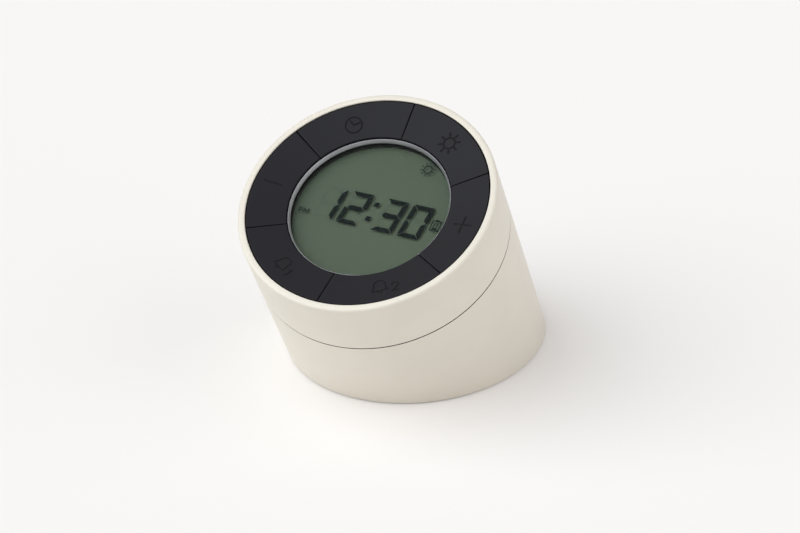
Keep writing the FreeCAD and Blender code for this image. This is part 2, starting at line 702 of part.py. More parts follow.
def make_button_guide():
    """Ring under the keys: it guides their stems and pins, and its bosses take the board screws."""
    body = new_body("button_guide", leaning())
    outside = f"({RIM_INSIDE} - sizes.guide_edge_clearance)"
    inside = f"({FRAME_OUTSIDE} + sizes.guide_edge_clearance)"
    ring = circles(body, "guide_ring", [("0", "0", outside), ("0", "0", inside)], GUIDE_BOTTOM)
    pad(body, ring, "sizes.guide_thickness")
    boss = circles(body, "guide_boss", [("0", "sizes.stem_circle", "sizes.boss_radius")], BOARD_TOP)
    around(body, [pad(body, boss, f"({GUIDE_BOTTOM} - {BOARD_TOP})")], "sizes.button_count")
    pilot_top = f"({BOARD_TOP} + sizes.board_screw_reach)"
    pilot = circles(body, "guide_pilot", [("0", "sizes.stem_circle", "sizes.board_screw_radius")], pilot_top)
    around(body, [pocket(body, pilot, "sizes.board_screw_reach")], "sizes.button_count")
    stem_hole = "(sizes.stem_radius + sizes.guide_clearance)"
    pin_hole = "(sizes.pin_radius + sizes.guide_clearance)"
    middle = f"{VIEW_UP_ANGLE - FIRST_KEY_ANGLE}"
    discs = [
        stem_circle_disc(middle, stem_hole),
        stem_circle_disc(f"({middle} + sizes.pin_spread)", pin_hole),
        stem_circle_disc(f"({middle} - sizes.pin_spread)", pin_hole),
    ]
    holes = pocket(body, circles(body, "guide_hole", discs, GUIDE_TOP), "sizes.guide_thickness")
    around(body, [holes], "sizes.button_count")
    return body


def stem_circle_disc(angle, radius):
    """Circle centred on the stem circle, given as formulas for circles()."""
    return f"(sizes.stem_circle * cos({angle}))", f"(sizes.stem_circle * sin({angle}))", radius


def make_button(name, turn):
    """One sector key with a dished top, a stem with a retaining flange and two guide pins."""
    body = new_body(f"button_{name}", leaning(turn=turn))
    gap_angle = "(180 * sizes.button_gap / (pi * sizes.stem_circle))"
    revolve(body, [
        (BUTTON_INSIDE, f"({BUTTON_EDGE} - sizes.button_thickness)"),
        (BUTTON_OUTSIDE, f"({BUTTON_TOP} - sizes.button_thickness)"),
        (BUTTON_OUTSIDE, BUTTON_TOP),
        (BUTTON_INSIDE, BUTTON_EDGE),
    ], f"(360 / sizes.button_count - {gap_angle})")
    level = f"({BUTTON_EDGE} - sizes.button_thickness / 2)"
    upper = size(level)
    round_edges(body, lambda edge: edge_above(edge, upper), "sizes.button_round")
    slope = f"(sizes.dish_drop / ({BUTTON_OUTSIDE} - {BUTTON_INSIDE}))"
    inside_key = f"({level} + {slope} * (sizes.stem_circle - {BUTTON_INSIDE}))"
    stem = circles(body, f"stem_{name}", [("sizes.stem_circle", "0", "sizes.stem_radius")], STEM_BOTTOM)
    pad(body, stem, f"({inside_key} - {STEM_BOTTOM})")
    flange = circles(body, f"flange_{name}", [("sizes.stem_circle", "0", "sizes.flange_radius")], STEM_BOTTOM)
    pad(body, flange, "sizes.flange_height")
    pins = [
        stem_circle_disc(spread, "sizes.pin_radius")
        for spread in ("sizes.pin_spread", "(-sizes.pin_spread)")
    ]
    pin_bottom = f"({GUIDE_BOTTOM} - sizes.button_travel)"
    pad(body, circles(body, f"pins_{name}", pins, pin_bottom), f"({inside_key} - {pin_bottom})")
    return body


def edge_above(edge, level):
    """True for an edge that belongs to the key's top: both ends lie above the middle of its thickness."""
    ends = [vertex.Point for vertex in edge.Vertexes]
    radii = [math.hypot(point.x, point.y) for point in ends]
    slope = size(f"sizes.dish_drop / ({BUTTON_OUTSIDE} - {BUTTON_INSIDE})")
    inner = size(BUTTON_INSIDE)
    return all(point.z > level + slope * (radius - inner) for point, radius in zip(ends, radii))


def make_switch(name, turn):
    """Push switch under one key: a square housing with a round well for its plunger."""
    half = "(sizes.switch_width / 2)"
    corner = moved(f"(sizes.stem_circle - {half})", f"(-{half})", BOARD_TOP)
    housing_size = ("sizes.switch_width", "sizes.switch_width", "sizes.switch_height")
    housing = box(f"housing_{name}", *housing_size, corner)
    radius = "(sizes.plunger_radius + sizes.plunger_clearance)"
    place = moved("sizes.stem_circle", "0", f"({SWITCH_TOP} - sizes.plunger_well)")
    well = cylinder(f"well_{name}", radius, "sizes.plunger_well", place)
    return bind(cut(f"switch_{name}", housing, well), Placement=leaning(turn=turn))


def make_plunger(name, turn):
    """Plunger of one push switch, just under the key's stem."""
    place = leaning(turn=turn, across="sizes.stem_circle", along=f"({STEM_BOTTOM} - sizes.plunger_length)")
    return cylinder(f"plunger_{name}", "sizes.plunger_radius", "sizes.plunger_length", place)


def make_keys():
    """Six keys, each with its switch and plunger, clockwise from the upper right."""
    pieces = []
    for number, name in enumerate(KEY_NAMES):
        turn = f"({VIEW_UP_ANGLE - FIRST_KEY_ANGLE} - {number} * 360 / sizes.button_count)"
        pieces += [make_button(name, turn), make_switch(name, turn), make_plunger(name, turn)]
    return pieces


def make_board_screws():
    """Screws through the board into the bosses of the key guide."""
    screws = []
    for number in range(int(size("sizes.button_count"))):
        turn = f"({number} * 360 / sizes.button_count)"
        head_level = f"({BOARD_BOTTOM} - sizes.board_head_height)"
        head_place = leaning(turn, "0", "sizes.stem_circle", head_level)
        head_size = ("sizes.board_screw_head", "sizes.board_head_height")
        head = cylinder(f"board_head_{number}", *head_size, head_place)
        shank_place = leaning(turn, "0", "sizes.stem_circle", BOARD_BOTTOM)
        reach = "(sizes.board_thickness + sizes.board_screw_reach)"
        shank = cylinder(f"board_shank_{number}", "sizes.board_screw_radius", reach, shank_place)
        screws.append(fuse(f"board_screw_{number}", [head, shank]))
    return group("board_screws", screws)


def make_display_frame():
    """Black frame that holds the display glass, its light plate and the window on the board."""
    body = new_body("display_frame", leaning())
    seat = f"({WINDOW_RADIUS} + sizes.window_clearance)"
    revolve(body, [
        ("sizes.display_radius", GLASS_TOP),
        ("sizes.display_radius", WINDOW_BOTTOM),
        (seat, WINDOW_BOTTOM),
        (seat, WINDOW_TOP),
        (FRAME_OUTSIDE, WINDOW_TOP),
        (FRAME_OUTSIDE, BOARD_TOP),
        (FRAME_INSIDE, BOARD_TOP),
        (FRAME_INSIDE, GLASS_TOP),
    ])
    return body


def make_display_bezel():
    """Thin silver ring that lines the display well and stands on the window."""
    body = new_body("display_bezel", leaning())
    top = f"({BUTTON_EDGE} - sizes.bezel_drop)"
    revolve(body, [
        ("sizes.display_radius", WINDOW_TOP),
        (BEZEL_OUTSIDE, WINDOW_TOP),
        (BEZEL_OUTSIDE, top),
        ("sizes.display_radius", top),
    ])
    return body


def make_display_window():
    """Clear round window over the display glass."""
    place = leaning(along=WINDOW_BOTTOM)
    return cylinder("display_window", WINDOW_RADIUS, "sizes.window_thickness", place)


def chord_box(name, chord, low, height):
    """Block that takes off the downhill side of a disc beyond a chord."""
    span = "(2 * sizes.body_radius)"
    place = leaning(across="(-sizes.body_radius)", up=f"(-{chord} - {span})", along=low)
    return box(name, span, span, height, place)


def make_display_glass():
    """Liquid crystal glass, a disc with a straight contact edge on its downhill side."""
    disc = cylinder("glass_disc", GLASS_RADIUS, "sizes.glass_thickness", leaning(along=GLASS_BOTTOM))
    chord = f"({GLASS_RADIUS} - sizes.contact_ledge)"
    return cut("display_glass", disc, chord_box("glass_chord", chord, GLASS_BOTTOM, "sizes.glass_thickness"))


def strip_edge():
    """Distance from the axis to the uphill side of the connector strip."""
    return f"({GLASS_RADIUS} - sizes.strip_inset - sizes.strip_width)"


def make_light_plate():
    """White light plate behind the glass, notched for the two side lamps."""
    disc = cylinder("light_disc", GLASS_RADIUS, "sizes.light_thickness", leaning(along=BOARD_TOP))
    chord = f"({strip_edge()} - sizes.window_clearance)"
    tools = [chord_box("light_chord", chord, BOARD_TOP, "sizes.light_thickness")]
    for side, turn in (("right", "0"), ("left", "180")):
        clearance = "sizes.window_clearance"
        width = f"(sizes.led_length + 2 * {clearance})"
        start = f"({GLASS_RADIUS} - sizes.led_inset - sizes.led_depth - {clearance})"
        place = leaning(turn, start, f"(-{width} / 2)", BOARD_TOP)
        notch_size = ("(4 * sizes.led_depth)", width, "sizes.light_thickness")
        tools.append(box(f"lamp_notch_{side}", *notch_size, place))
    return cut("light_plate", disc, fuse("light_cuts", tools))


def make_side_lamps():
    """Two side lamps that light the plate, one on each side of the display."""
    lamps = []
    for side, turn in (("right", "0"), ("left", "180")):
        start = f"({GLASS_RADIUS} - sizes.led_inset - sizes.led_depth)"
        place = leaning(turn, start, "(-sizes.led_length / 2)", BOARD_TOP)
        lamp_size = ("sizes.led_depth", "sizes.led_length", "sizes.led_height")
        lamps.append(box(f"side_lamp_{side}", *lamp_size, place))
    return lamps


def make_connector_strip():
    """Rubber connector strip between the board and the contact edge of the glass."""
    up = f"(-{strip_edge()} - sizes.strip_width)"
    place = leaning(across="(-sizes.strip_length / 2)", up=up, along=BOARD_TOP)
    return box("connector_strip", "sizes.strip_length", "sizes.strip_width", "sizes.light_thickness", place)


def make_board_parts():
    """Controller, quartz crystal and buzzer on the underside of the board."""
    half = "(sizes.chip_width / 2)"
    chip_level = f"({BOARD_BOTTOM} - sizes.chip_height)"
    chip_place = leaning(across=f"(-{half})", up=f"(sizes.chip_offset - {half})", along=chip_level)
    chip = box("controller_chip", "sizes.chip_width", "sizes.chip_width", "sizes.chip_height", chip_place)
    crystal_place = leaning(up="sizes.crystal_offset", along=f"({BOARD_BOTTOM} - sizes.crystal_length)")
    crystal = cylinder("quartz_crystal", "sizes.crystal_radius", "sizes.crystal_length", crystal_place)
    buzzer_level = f"({BOARD_BOTTOM} - sizes.buzzer_height)"
    buzzer_place = leaning("0", "sizes.buzzer_across", "sizes.buzzer_up", buzzer_level)
    buzzer = cylinder("buzzer", "sizes.buzzer_radius", "sizes.buzzer_height", buzzer_place)
    return [chip, crystal, buzzer]


def bent_path(points, bend):
    """Wire of straight runs joined by tangent arcs of one radius."""
    edges = []
    start = points[0]
    for before, corner, after in zip(points, points[1:], points[2:]):
        arriving = (corner - before).normalize()
        leaving = (after - corner).normalize()
        turn = arriving.getAngle(leaving)
        back = bend * math.tan(turn / 2)
        arc_start = corner - arriving * back
        arc_end = corner + leaving * back
        toward = (leaving - arriving).normalize()
        centre = corner + toward * (bend / math.cos(turn / 2))
        arc_middle = centre - toward * bend
        edges.append(Part.LineSegment(start, arc_start).toShape())
        edges.append(Part.Arc(arc_start, arc_middle, arc_end).toShape())
        start = arc_end
    edges.append(Part.LineSegment(start, points[-1]).toShape())
    return Part.Wire(edges)


def make_lead(name, row):
    """Lead from one terminal's tab up to the underside of the board, square to both."""
    lean = math.radians(size("sizes.lean_angle"))
    axis = FreeCAD.Vector(0, -math.sin(lean), math.cos(lean))
    uphill = FreeCAD.Vector(0, math.cos(lean), math.sin(lean))
    axis_foot = FreeCAD.Vector(0, size(AXIS_FOOT_BACK), 0)
    bend = size("sizes.lead_bend")
    tab = axis_foot + FreeCAD.Vector(
        size(f"{TRAY_LENGTH} / 2 - sizes.contact_thickness / 2"),
        size(f"{row} * sizes.cell_spacing / 2"),
        size(f"{TRAY_TOP} + sizes.tab_rise"),
    )
    beside_middle = axis_foot + FreeCAD.Vector(tab.x, 0, 0)
    pad_place = beside_middle + uphill * size(f"{row} * sizes.cell_spacing / 2")
    end = pad_place + axis * size(BOARD_BOTTOM)
    low_corner = tab + FreeCAD.Vector(0, 0, bend)
    high_corner = end - axis * bend
    path = bent_path([tab, low_corner, high_corner, end], bend)
    ring = Part.Wire([Part.makeCircle(size("sizes.lead_radius"), tab, FreeCAD.Vector(0, 0, 1))])
    item = doc.addObject("Part::Feature", name)
    item.Shape = path.makePipeShell([ring], True, False)
    expected = math.pi * size("sizes.lead_radius") ** 2 * path.Length
    print(f"{name}: volume {item.Shape.Volume:.2f}, section times length {expected:.2f}, bends {bend:.1f}")
    return item


SUB_PARTS = [
    make_upper_casing(),
    make_lower_casing(),
    make_base_plate(),
    make_battery_cover(),
    make_battery_tray(),
    make_cell("battery_cell_front", -1, 1),
    make_cell("battery_cell_back", 1, -1),
    make_link_plate(),
    make_terminal("battery_terminal_plus", -1),
    make_terminal("battery_terminal_minus", 1),
    make_base_screws(),
    make_main_board(),
    make_button_guide(),
    make_board_screws(),
    make_display_frame(),
    make_display_bezel(),
    make_display_window(),
    make_display_glass(),
    make_light_plate(),
    make_connector_strip(),
    make_lead("battery_lead_plus", -1),
    make_lead("battery_lead_minus", 1),
]
SUB_PARTS += make_feet()
SUB_PARTS += make_keys()
SUB_PARTS += make_side_lamps()
SUB_PARTS += make_board_parts()

doc.recompute()

faults = [item.Name for item in doc.Objects if "Invalid" in item.State or "Error" in item.State]
if faults:
    raise ValueError(f"failed objects: {faults}")
for item in SUB_PARTS:
    item.Label = item.Name
    if item.Shape.isNull() or not item.Shape.isValid():
        raise ValueError(f"bad shape: {item.Label}")

os.makedirs("parts", exist_ok=True)
for item in SUB_PARTS:
    item.Shape.exportStep(f"parts/{item.Label}.step")
    print(f"{item.Label}: {len(item.Shape.Solids)} solids, {item.Shape.Volume:.1f} cubic millimetres")
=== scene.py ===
"""Looks of the leaning desk alarm clock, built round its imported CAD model."""

import json
import logging
import math
from dataclasses import dataclass, field
from enum import Enum
from typing import Any, Sequence, Union

import bpy
import numpy as np
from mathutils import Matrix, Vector

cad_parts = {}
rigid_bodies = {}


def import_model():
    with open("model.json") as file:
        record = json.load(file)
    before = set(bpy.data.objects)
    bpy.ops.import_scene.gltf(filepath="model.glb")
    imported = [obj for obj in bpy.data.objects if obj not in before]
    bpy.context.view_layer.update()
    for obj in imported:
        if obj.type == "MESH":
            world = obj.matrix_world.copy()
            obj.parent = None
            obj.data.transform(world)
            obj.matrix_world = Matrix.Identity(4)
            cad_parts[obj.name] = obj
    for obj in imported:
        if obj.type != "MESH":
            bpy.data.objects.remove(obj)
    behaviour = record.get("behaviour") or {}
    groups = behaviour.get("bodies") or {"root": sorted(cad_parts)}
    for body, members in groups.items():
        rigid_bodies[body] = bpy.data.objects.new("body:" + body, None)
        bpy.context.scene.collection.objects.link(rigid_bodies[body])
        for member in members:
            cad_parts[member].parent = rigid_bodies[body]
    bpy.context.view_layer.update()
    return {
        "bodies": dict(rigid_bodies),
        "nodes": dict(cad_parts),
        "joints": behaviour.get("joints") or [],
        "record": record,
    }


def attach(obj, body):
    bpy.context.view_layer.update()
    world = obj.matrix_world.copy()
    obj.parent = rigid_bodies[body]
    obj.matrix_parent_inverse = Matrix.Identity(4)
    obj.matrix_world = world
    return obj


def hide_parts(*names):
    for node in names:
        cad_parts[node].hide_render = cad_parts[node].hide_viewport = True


Colour = tuple[float, float, float]
Triple = tuple[float, float, float]
Point = tuple[float, float]

log = logging.getLogger("alarm_clock")

MM = 0.001


class Glyph(Enum):
    """Symbols that are sunk into the keys."""

    CLOCK = "clock"
    SUN = "sun"
    PLUS = "plus"
    MINUS = "minus"
    BELL_ONE = "bell_one"
    BELL_TWO = "bell_two"


# Places and meshes


@dataclass(frozen=True)
class ClockFrame:
    """Main sizes of the clock in millimetres, and the way from them to the row frame in metres."""

    body_radius: float = 40.0
    lean: float = math.radians(29.0)
    face_distance: float = 72.4
    rim_round: float = 0.9
    rim_width: float = 2.3
    floor_gap: float = 0.4
    seam_drop: float = 20.2
    seam_gap: float = 0.4
    display_radius: float = 24.6

    @property
    def uphill(self) -> np.ndarray:
        """Direction across the face that points uphill."""
        return np.array([0.0, math.cos(self.lean), math.sin(self.lean)])

    @property
    def axis(self) -> np.ndarray:
        """Direction of the cylinder's axis, out of the face."""
        return np.array([0.0, -math.sin(self.lean), math.cos(self.lean)])

    @property
    def axis_foot(self) -> np.ndarray:
        """Point where the axis meets the floor: half of front reach less back reach."""
        corner = self.body_radius - self.rim_round
        top = self.face_distance - self.rim_round
        front = corner * math.cos(self.lean) + top * math.sin(self.lean) + self.rim_round
        back = self.body_radius / math.cos(self.lean) - self.floor_gap * math.tan(self.lean)
        return np.array([0.0, (front - back) / 2, 0.0])

    def place(self, across: np.ndarray, up: np.ndarray, along: np.ndarray) -> np.ndarray:
        """Row-frame points of leaning coordinates: foot + across X + up uphill + along axis.

        Args:
            across: Millimetres to the viewer's right.
            up: Millimetres uphill across the face.
            along: Millimetres up the axis from the floor.

        Returns:
            Points as an array of rows, in metres.
        """
        across, up, along = np.broadcast_arrays(across, up, along)
        sideways = np.array([1.0, 0.0, 0.0])
        points = (
            self.axis_foot
            + across.reshape(-1, 1) * sideways
            + up.reshape(-1, 1) * self.uphill
            + along.reshape(-1, 1) * self.axis
        )
        return points * MM

    def floor_level(self, radius: np.ndarray, angle: np.ndarray, height: float) -> np.ndarray:
        """Level along the axis at which a wall reaches a height above the floor.

        The height of a leaning point is up sin(lean) + along cos(lean), with up = radius sin(angle).

        Args:
            radius: Distance from the axis in millimetres.
            angle: Angle about the axis.
            height: Height above the floor in millimetres.

        Returns:
            The level along the axis, in millimetres.
        """
        return (height - radius * np.sin(angle) * math.sin(self.lean)) / math.cos(self.lean)


FRAME = ClockFrame()


@dataclass
class Shell:
    """Points and faces that are gathered before they become one mesh."""

    points: list[np.ndarray] = field(default_factory=list)
    faces: list[np.ndarray] = field(default_factory=list)
    marks: list[np.ndarray] = field(default_factory=list)
    count: int = 0

    def add(self, points: np.ndarray, faces: Sequence[np.ndarray], marks: np.ndarray | None = None) -> None:
        """Add one closed surface.

        Args:
            points: Rows of points in metres.
            faces: Arrays of faces, each with its own number of corners.
            marks: Share of the sunk symbols' painted shade or of painted recess shade at each point, or None
                for none.
        """
        self.faces += [np.atleast_2d(group) + self.count for group in faces]
        self.points.append(points)
        self.marks.append(np.zeros(len(points)) if marks is None else marks)
        self.count += len(points)

    def build(self, name: str, sharp: float = 32.0) -> bpy.types.Object:
        """Make the gathered surfaces one object.

        Args:
            name: Name of the piece.
            sharp: Angle in degrees past which an edge is shaded sharp.

        Returns:
            The new object, linked to the scene.
        """
        mesh = bpy.data.meshes.new(name)
        faces = [face for group in self.faces for face in group.tolist()]
        mesh.from_pydata(np.concatenate(self.points).tolist(), [], faces)
        mesh.polygons.foreach_set("use_smooth", np.ones(len(mesh.polygons), bool))
        mesh.set_sharp_from_angle(angle=math.radians(sharp))
        layer = mesh.attributes.new("mark", "FLOAT", "POINT")
        layer.data.foreach_set("value", np.concatenate(self.marks).astype(np.float32))
        mesh.update()
        piece = bpy.data.objects.new(name, mesh)
        bpy.context.scene.collection.objects.link(piece)
        return piece


def grid_faces(rows: int, columns: int, wrap_rows: bool, wrap_columns: bool) -> np.ndarray:
    """Quads between the neighbours of a grid whose point (i, j) has the number i columns + j.

    Args:
        rows: Number of rows.
        columns: Number of columns.
        wrap_rows: True where the last row joins the first.
        wrap_columns: True where the last column joins the first.

    Returns:
        Faces as an array of four corners each.
    """
    i = np.arange(rows if wrap_rows else rows - 1)[:, None]
    j = np.arange(columns if wrap_columns else columns - 1)[None, :]
    below = (i + 1) % rows
    beside = (j + 1) % columns
    corners = [i * columns + j, i * columns + beside, below * columns + beside, below * columns + j]
    return np.stack([np.broadcast_to(c, (i.size, j.size)) for c in corners], axis=-1).reshape(-1, 4)


def rounding(corner: Point, start: Point, end: Point, steps: int = 5) -> list[Point]:
    """Round a corner: (1-t)^2 start + 2t(1-t) corner + t^2 end, with t from 0 to 1.

    Args:
        corner: Sharp corner as radius and level.
        start: Where the rounding leaves the first side.
        end: Where it meets the second side.
        steps: Number of runs in the rounding.

    Returns:
        Points of the rounding, both ends among them.
    """
    t = np.linspace(0.0, 1.0, steps + 1)[:, None]
    curve = (1 - t) ** 2 * np.array(start) + 2 * t * (1 - t) * np.array(corner) + t**2 * np.array(end)
    return [tuple(p) for p in curve]


def softened(points: Sequence[Point], radius: float, steps: int = 3) -> list[Point]:
    """Round every corner of a closed profile by the same radius.

    Args:
        points: Corners as radius and level, in order.
        radius: Distance from each corner at which its rounding starts.
        steps: Number of runs in each rounding.

    Returns:
        The rounded profile.
    """
    most_of_side = 0.45
    made: list[Point] = []
    for before, corner, after in zip([points[-1], *points[:-1]], points, [*points[1:], points[0]]):
        here = np.array(corner)
        ends = []
        for other in (before, after):
            away = np.array(other) - here
            length = np.linalg.norm(away)
            ends.append(tuple(here + away / length * min(radius, length * most_of_side)))
        made += rounding(corner, ends[0], ends[1], steps)
    return made


def turned_ring(
    shell: Shell,
    radius: np.ndarray,
    level: np.ndarray,
    segments: int,
    hidden: np.ndarray | None = None,
) -> None:
    """Carry a closed profile round the axis: x = r cos(a), up = r sin(a), along = level.

    Args:
        shell: Gathers the surface.
        radius: Profile radii, one row per point, and one column or one per angle.
        level: Profile levels, shaped alike.
        segments: Number of angles.
        hidden: True for each profile row that lies in a recess and takes painted shade, or None.
    """
    angle = np.linspace(0.0, 2 * math.pi, segments, endpoint=False)[None, :]
    radius = np.broadcast_to(radius, (len(radius), segments))
    level = np.broadcast_to(level, (len(level), segments))
    points = FRAME.place(radius * np.cos(angle), radius * np.sin(angle), level)
    marks = None if hidden is None else np.repeat(hidden.astype(float), segments)
    shell.add(points, [grid_faces(len(radius), segments, True, True)], marks)


def turned_solid(
    shell: Shell,
    profile: Sequence[Point],
    segments: int,
    across: float = 0.0,
    up: float = 0.0,
) -> None:
    """Turn an open profile that starts and ends on its own axis, and close both poles.

    Each ring is x = across + r cos(a), up = up + r sin(a), and each pole is one point.

    Args:
        shell: Gathers the surface.
        profile: Points as radius and level, from the lower pole to the upper one.
        segments: Number of angles.
        across: Place of the solid's axis to the right.
        up: Place of the solid's axis uphill.
    """
    rings = np.array(profile[1:-1])
    angle = np.linspace(0.0, 2 * math.pi, segments, endpoint=False)[None, :]
    side = FRAME.place(
        across + rings[:, :1] * np.cos(angle),
        up + rings[:, :1] * np.sin(angle),
        rings[:, 1:] * np.ones_like(angle),
    )
    poles = FRAME.place(
        np.array([across, across]), np.array([up, up]), np.array([profile[0][1], profile[-1][1]])
    )
    walls = grid_faces(len(rings), segments, False, True)
    j = np.arange(segments)
    beside = (j + 1) % segments
    last = (len(rings) - 1) * segments
    low_pole, high_pole = len(side), len(side) + 1
    low = np.stack([np.full(segments, low_pole), beside, j], axis=-1)
    high = np.stack([np.full(segments, high_pole), last + j, last + beside], axis=-1)
    shell.add(np.concatenate([side, poles]), [walls, low, high])


def finish_piece(
    piece: bpy.types.Object,
    body: str,
    slot: str,
    material: bpy.types.Material,
    *nodes: str,
) -> bpy.types.Object:
    """Dress a piece and tie it to the frame.

    Args:
        piece: The object.
        body: CAD body that it rides on.
        slot: Name of the record's material slot; not used.
        material: Its material.
        nodes: CAD nodes that it stands for.

    Returns:
        The same object.
    """
    piece.data.materials.append(material)
    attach(piece, body)
    if nodes:
        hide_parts(*nodes)
    log.info("%s: %d points on %s", piece.name, len(piece.data.vertices), body)
    return piece


# Strokes and outlines of symbols


def arc(centre: Point, radius: float, start: float, end: float, steps: int = 24) -> np.ndarray:
    """Points centre + radius (cos a, sin a), with a from start to end in degrees."""
    a = np.radians(np.linspace(start, end, steps + 1))
    return np.stack([centre[0] + radius * np.cos(a), centre[1] + radius * np.sin(a)], axis=-1)


def line(*points: Point) -> np.ndarray:
    """Polyline through points."""
    return np.array(points, float)


def rays(centre: Point, inner: float, outer: float, count: int, start: float) -> list[np.ndarray]:
    """Short lines that point away from a centre, evenly spread from a start angle in degrees."""
    a = np.radians(start + 360.0 * np.arange(count) / count)
    away = np.stack([np.cos(a), np.sin(a)], axis=-1)
    return [np.stack([np.array(centre) + inner * d, np.array(centre) + outer * d]) for d in away]


def turned(points: np.ndarray, degrees: float, centre: Point) -> np.ndarray:
    """Points turned about the origin by an angle in degrees, then moved to a centre."""
    a = math.radians(degrees)
    spin = np.array([[math.cos(a), math.sin(a)], [-math.sin(a), math.cos(a)]])
    return points @ spin + np.array(centre)


def bell(degrees: float, foot: Point) -> list[np.ndarray]:
    """Outline of an alarm bell with its foot line and clapper.

    Args:
        degrees: Turn of the symbol, anticlockwise.
        foot: Middle of its foot line.

    Returns:
        Its strokes.
    """
    dome = arc((0.0, 2.3), 1.75, 180.0, 0.0, 18)
    left = line((-2.5, 0.0), (-1.9, 0.75), (-1.75, 2.3))
    right = line((1.75, 2.3), (1.9, 0.75), (2.5, 0.0))
    outline = np.concatenate([left, dome[1:-1], right])
    foot_line = line((-2.5, 0.0), (2.5, 0.0))
    clapper = arc((0.0, -0.1), 0.75, 200.0, 340.0, 8)
    return [turned(part, degrees, foot) for part in (outline, foot_line, clapper)]


def numeral_two(degrees: float, corner: Point, width: float, height: float) -> list[np.ndarray]:
    """Numeral two as one stroke: a bowl, a slanting back and a foot."""
    bowl = arc((width / 2, height - width / 2), width / 2, 165.0, -25.0, 16)
    foot = line((0.05, 0.0), (width, 0.0))
    return [turned(np.concatenate([bowl, foot]), degrees, corner)]


def numeral_one(degrees: float, foot: Point, height: float) -> list[np.ndarray]:
    """Numeral one as one stroke: a flag and an upright."""
    flag = line((-0.75, height - 0.65), (0.0, height), (0.0, 0.0))
    return [turned(flag, degrees, foot)]


@dataclass(frozen=True)
class KeySymbol:
    """Symbol on one key: its strokes in face coordinates and the width of its line."""

    glyph: Glyph
    width: float

    def strokes(self) -> list[np.ndarray]:
        """Strokes of the symbol in millimetres on the face."""
        if self.glyph is Glyph.CLOCK:
            centre = (-16.15, 26.15)
            hands = line((-17.6, 27.1), centre, (-14.5, 27.45))
            return [arc(centre, 2.6, 0.0, 360.0, 48), hands]
        if self.glyph is Glyph.SUN:
            centre = (15.85, 26.85)
            return [arc(centre, 1.85, 0.0, 360.0, 40), *rays(centre, 2.45, 3.45, 8, 15.0)]
        if self.glyph is Glyph.PLUS:
            x, y = 31.5, -0.2
            return [line((x - 2.75, y), (x + 2.75, y)), line((x, y - 2.75), (x, y + 2.75))]
        if self.glyph is Glyph.MINUS:
            x, y = -31.85, -0.35
            return [line((x - 2.8, y), (x + 2.8, y))]
        if self.glyph is Glyph.BELL_ONE:
            return bell(-30.0, (-16.9, -28.4)) + numeral_one(-30.0, (-13.75, -31.3), 3.1)
        return bell(30.0, (16.75, -28.5)) + numeral_two(30.0, (20.55, -27.75), 2.0, 3.3)


def stroke_distance(x: np.ndarray, y: np.ndarray, strokes: Sequence[np.ndarray]) -> np.ndarray:
    """Distance from each point to the nearest stroke: |p - a - clip((p-a).(b-a)/|b-a|^2, 0, 1)(b-a)|.

    Args:
        x: Across coordinates.
        y: Uphill coordinates, shaped alike.
        strokes: Polylines.

    Returns:
        Distances, shaped as x.
    """
    starts = np.concatenate([s[:-1] for s in strokes])
    runs = np.concatenate([s[1:] - s[:-1] for s in strokes])
    nearest = np.full(x.shape, 1e9)
    for a, run in zip(starts, runs):
        share = np.clip(((x - a[0]) * run[0] + (y - a[1]) * run[1]) / (run @ run), 0.0, 1.0)
        nearest = np.minimum(nearest, np.hypot(x - a[0] - share * run[0], y - a[1] - share * run[1]))
    return nearest


def add_prism(shell: Shell, outline: np.ndarray, low: float, high: float) -> None:
    """Flat solid from a closed outline on the face.

    Args:
        shell: Gathers the surface.
        outline: Corners in millimetres, anticlockwise.
        low: Lower level along the axis.
        high: Upper level.
    """
    count = len(outline)
    levels = np.repeat([low, high], count)
    points = FRAME.place(np.tile(outline[:, 0], 2), np.tile(outline[:, 1], 2), levels)
    j = np.arange(count)
    beside = (j + 1) % count
    sides = np.stack([j, beside, beside + count, j + count], axis=-1)
    shell.add(points, [j[::-1][None, :], (j + count)[None, :], sides])


def add_ribbon(shell: Shell, path: np.ndarray, width: float, low: float, high: float) -> None:
    """Flat solid of even width along a polyline, with mitred joints, closed where the path is.

    Each joint's two points lie along the mean normal n at width/2 / (n . side normal).

    Args:
        shell: Gathers the surface.
        path: Points in millimetres on the face.
        width: Width of the ribbon.
        low: Lower level along the axis.
        high: Upper level.
    """
    closed = bool(np.allclose(path[0], path[-1]))
    points = path[:-1] if closed else path
    runs = np.roll(points, -1, axis=0) - points
    normal = np.stack([-runs[:, 1], runs[:, 0]], axis=-1) / np.linalg.norm(runs, axis=1, keepdims=True)
    before = np.roll(normal, 1, axis=0)
    if not closed:
        normal[-1] = before[-1]
        before[0] = normal[0]
    mean = normal + before
    mean /= np.linalg.norm(mean, axis=1, keepdims=True)
    reach = width / 2 / np.clip((mean * normal).sum(axis=1, keepdims=True), 0.4, 1.0)
    left, right = points + mean * reach, points - mean * reach
    count = len(points)
    flat = np.concatenate([left, right, left, right])
    level = np.repeat([high, high, low, low], count)
    placed = FRAME.place(flat[:, 0], flat[:, 1], level)
    j = np.arange(count if closed else count - 1)
    k = (j + 1) % count
    top = np.stack([j + count, k + count, k, j], axis=-1)
    bottom = np.stack([j + 2 * count, k + 2 * count, k + 3 * count, j + 3 * count], axis=-1)
    left_wall = np.stack([j, k, k + 2 * count, j + 2 * count], axis=-1)
    right_wall = np.stack([j + 3 * count, k + 3 * count, k + count, j + count], axis=-1)
    faces = [top, bottom, left_wall, right_wall]
    if not closed:
        end = count - 1
        faces.append(np.array([[0, 2 * count, 3 * count, count]]))
        faces.append(np.array([[end, end + count, end + 3 * count, end + 2 * count]]))
    shell.add(placed, faces)


# Shader maths


Operand = Union["Value", float]

# A colour Mix node's sockets are numbered here, because their names repeat
MIX_SHARE = 0
MIX_FIRST = 6
MIX_SECOND = 7
MIX_RESULT = 2

UNSTRETCHED: Triple = (1.0, 1.0, 1.0)
NOISE_ROUGHNESS = 0.55

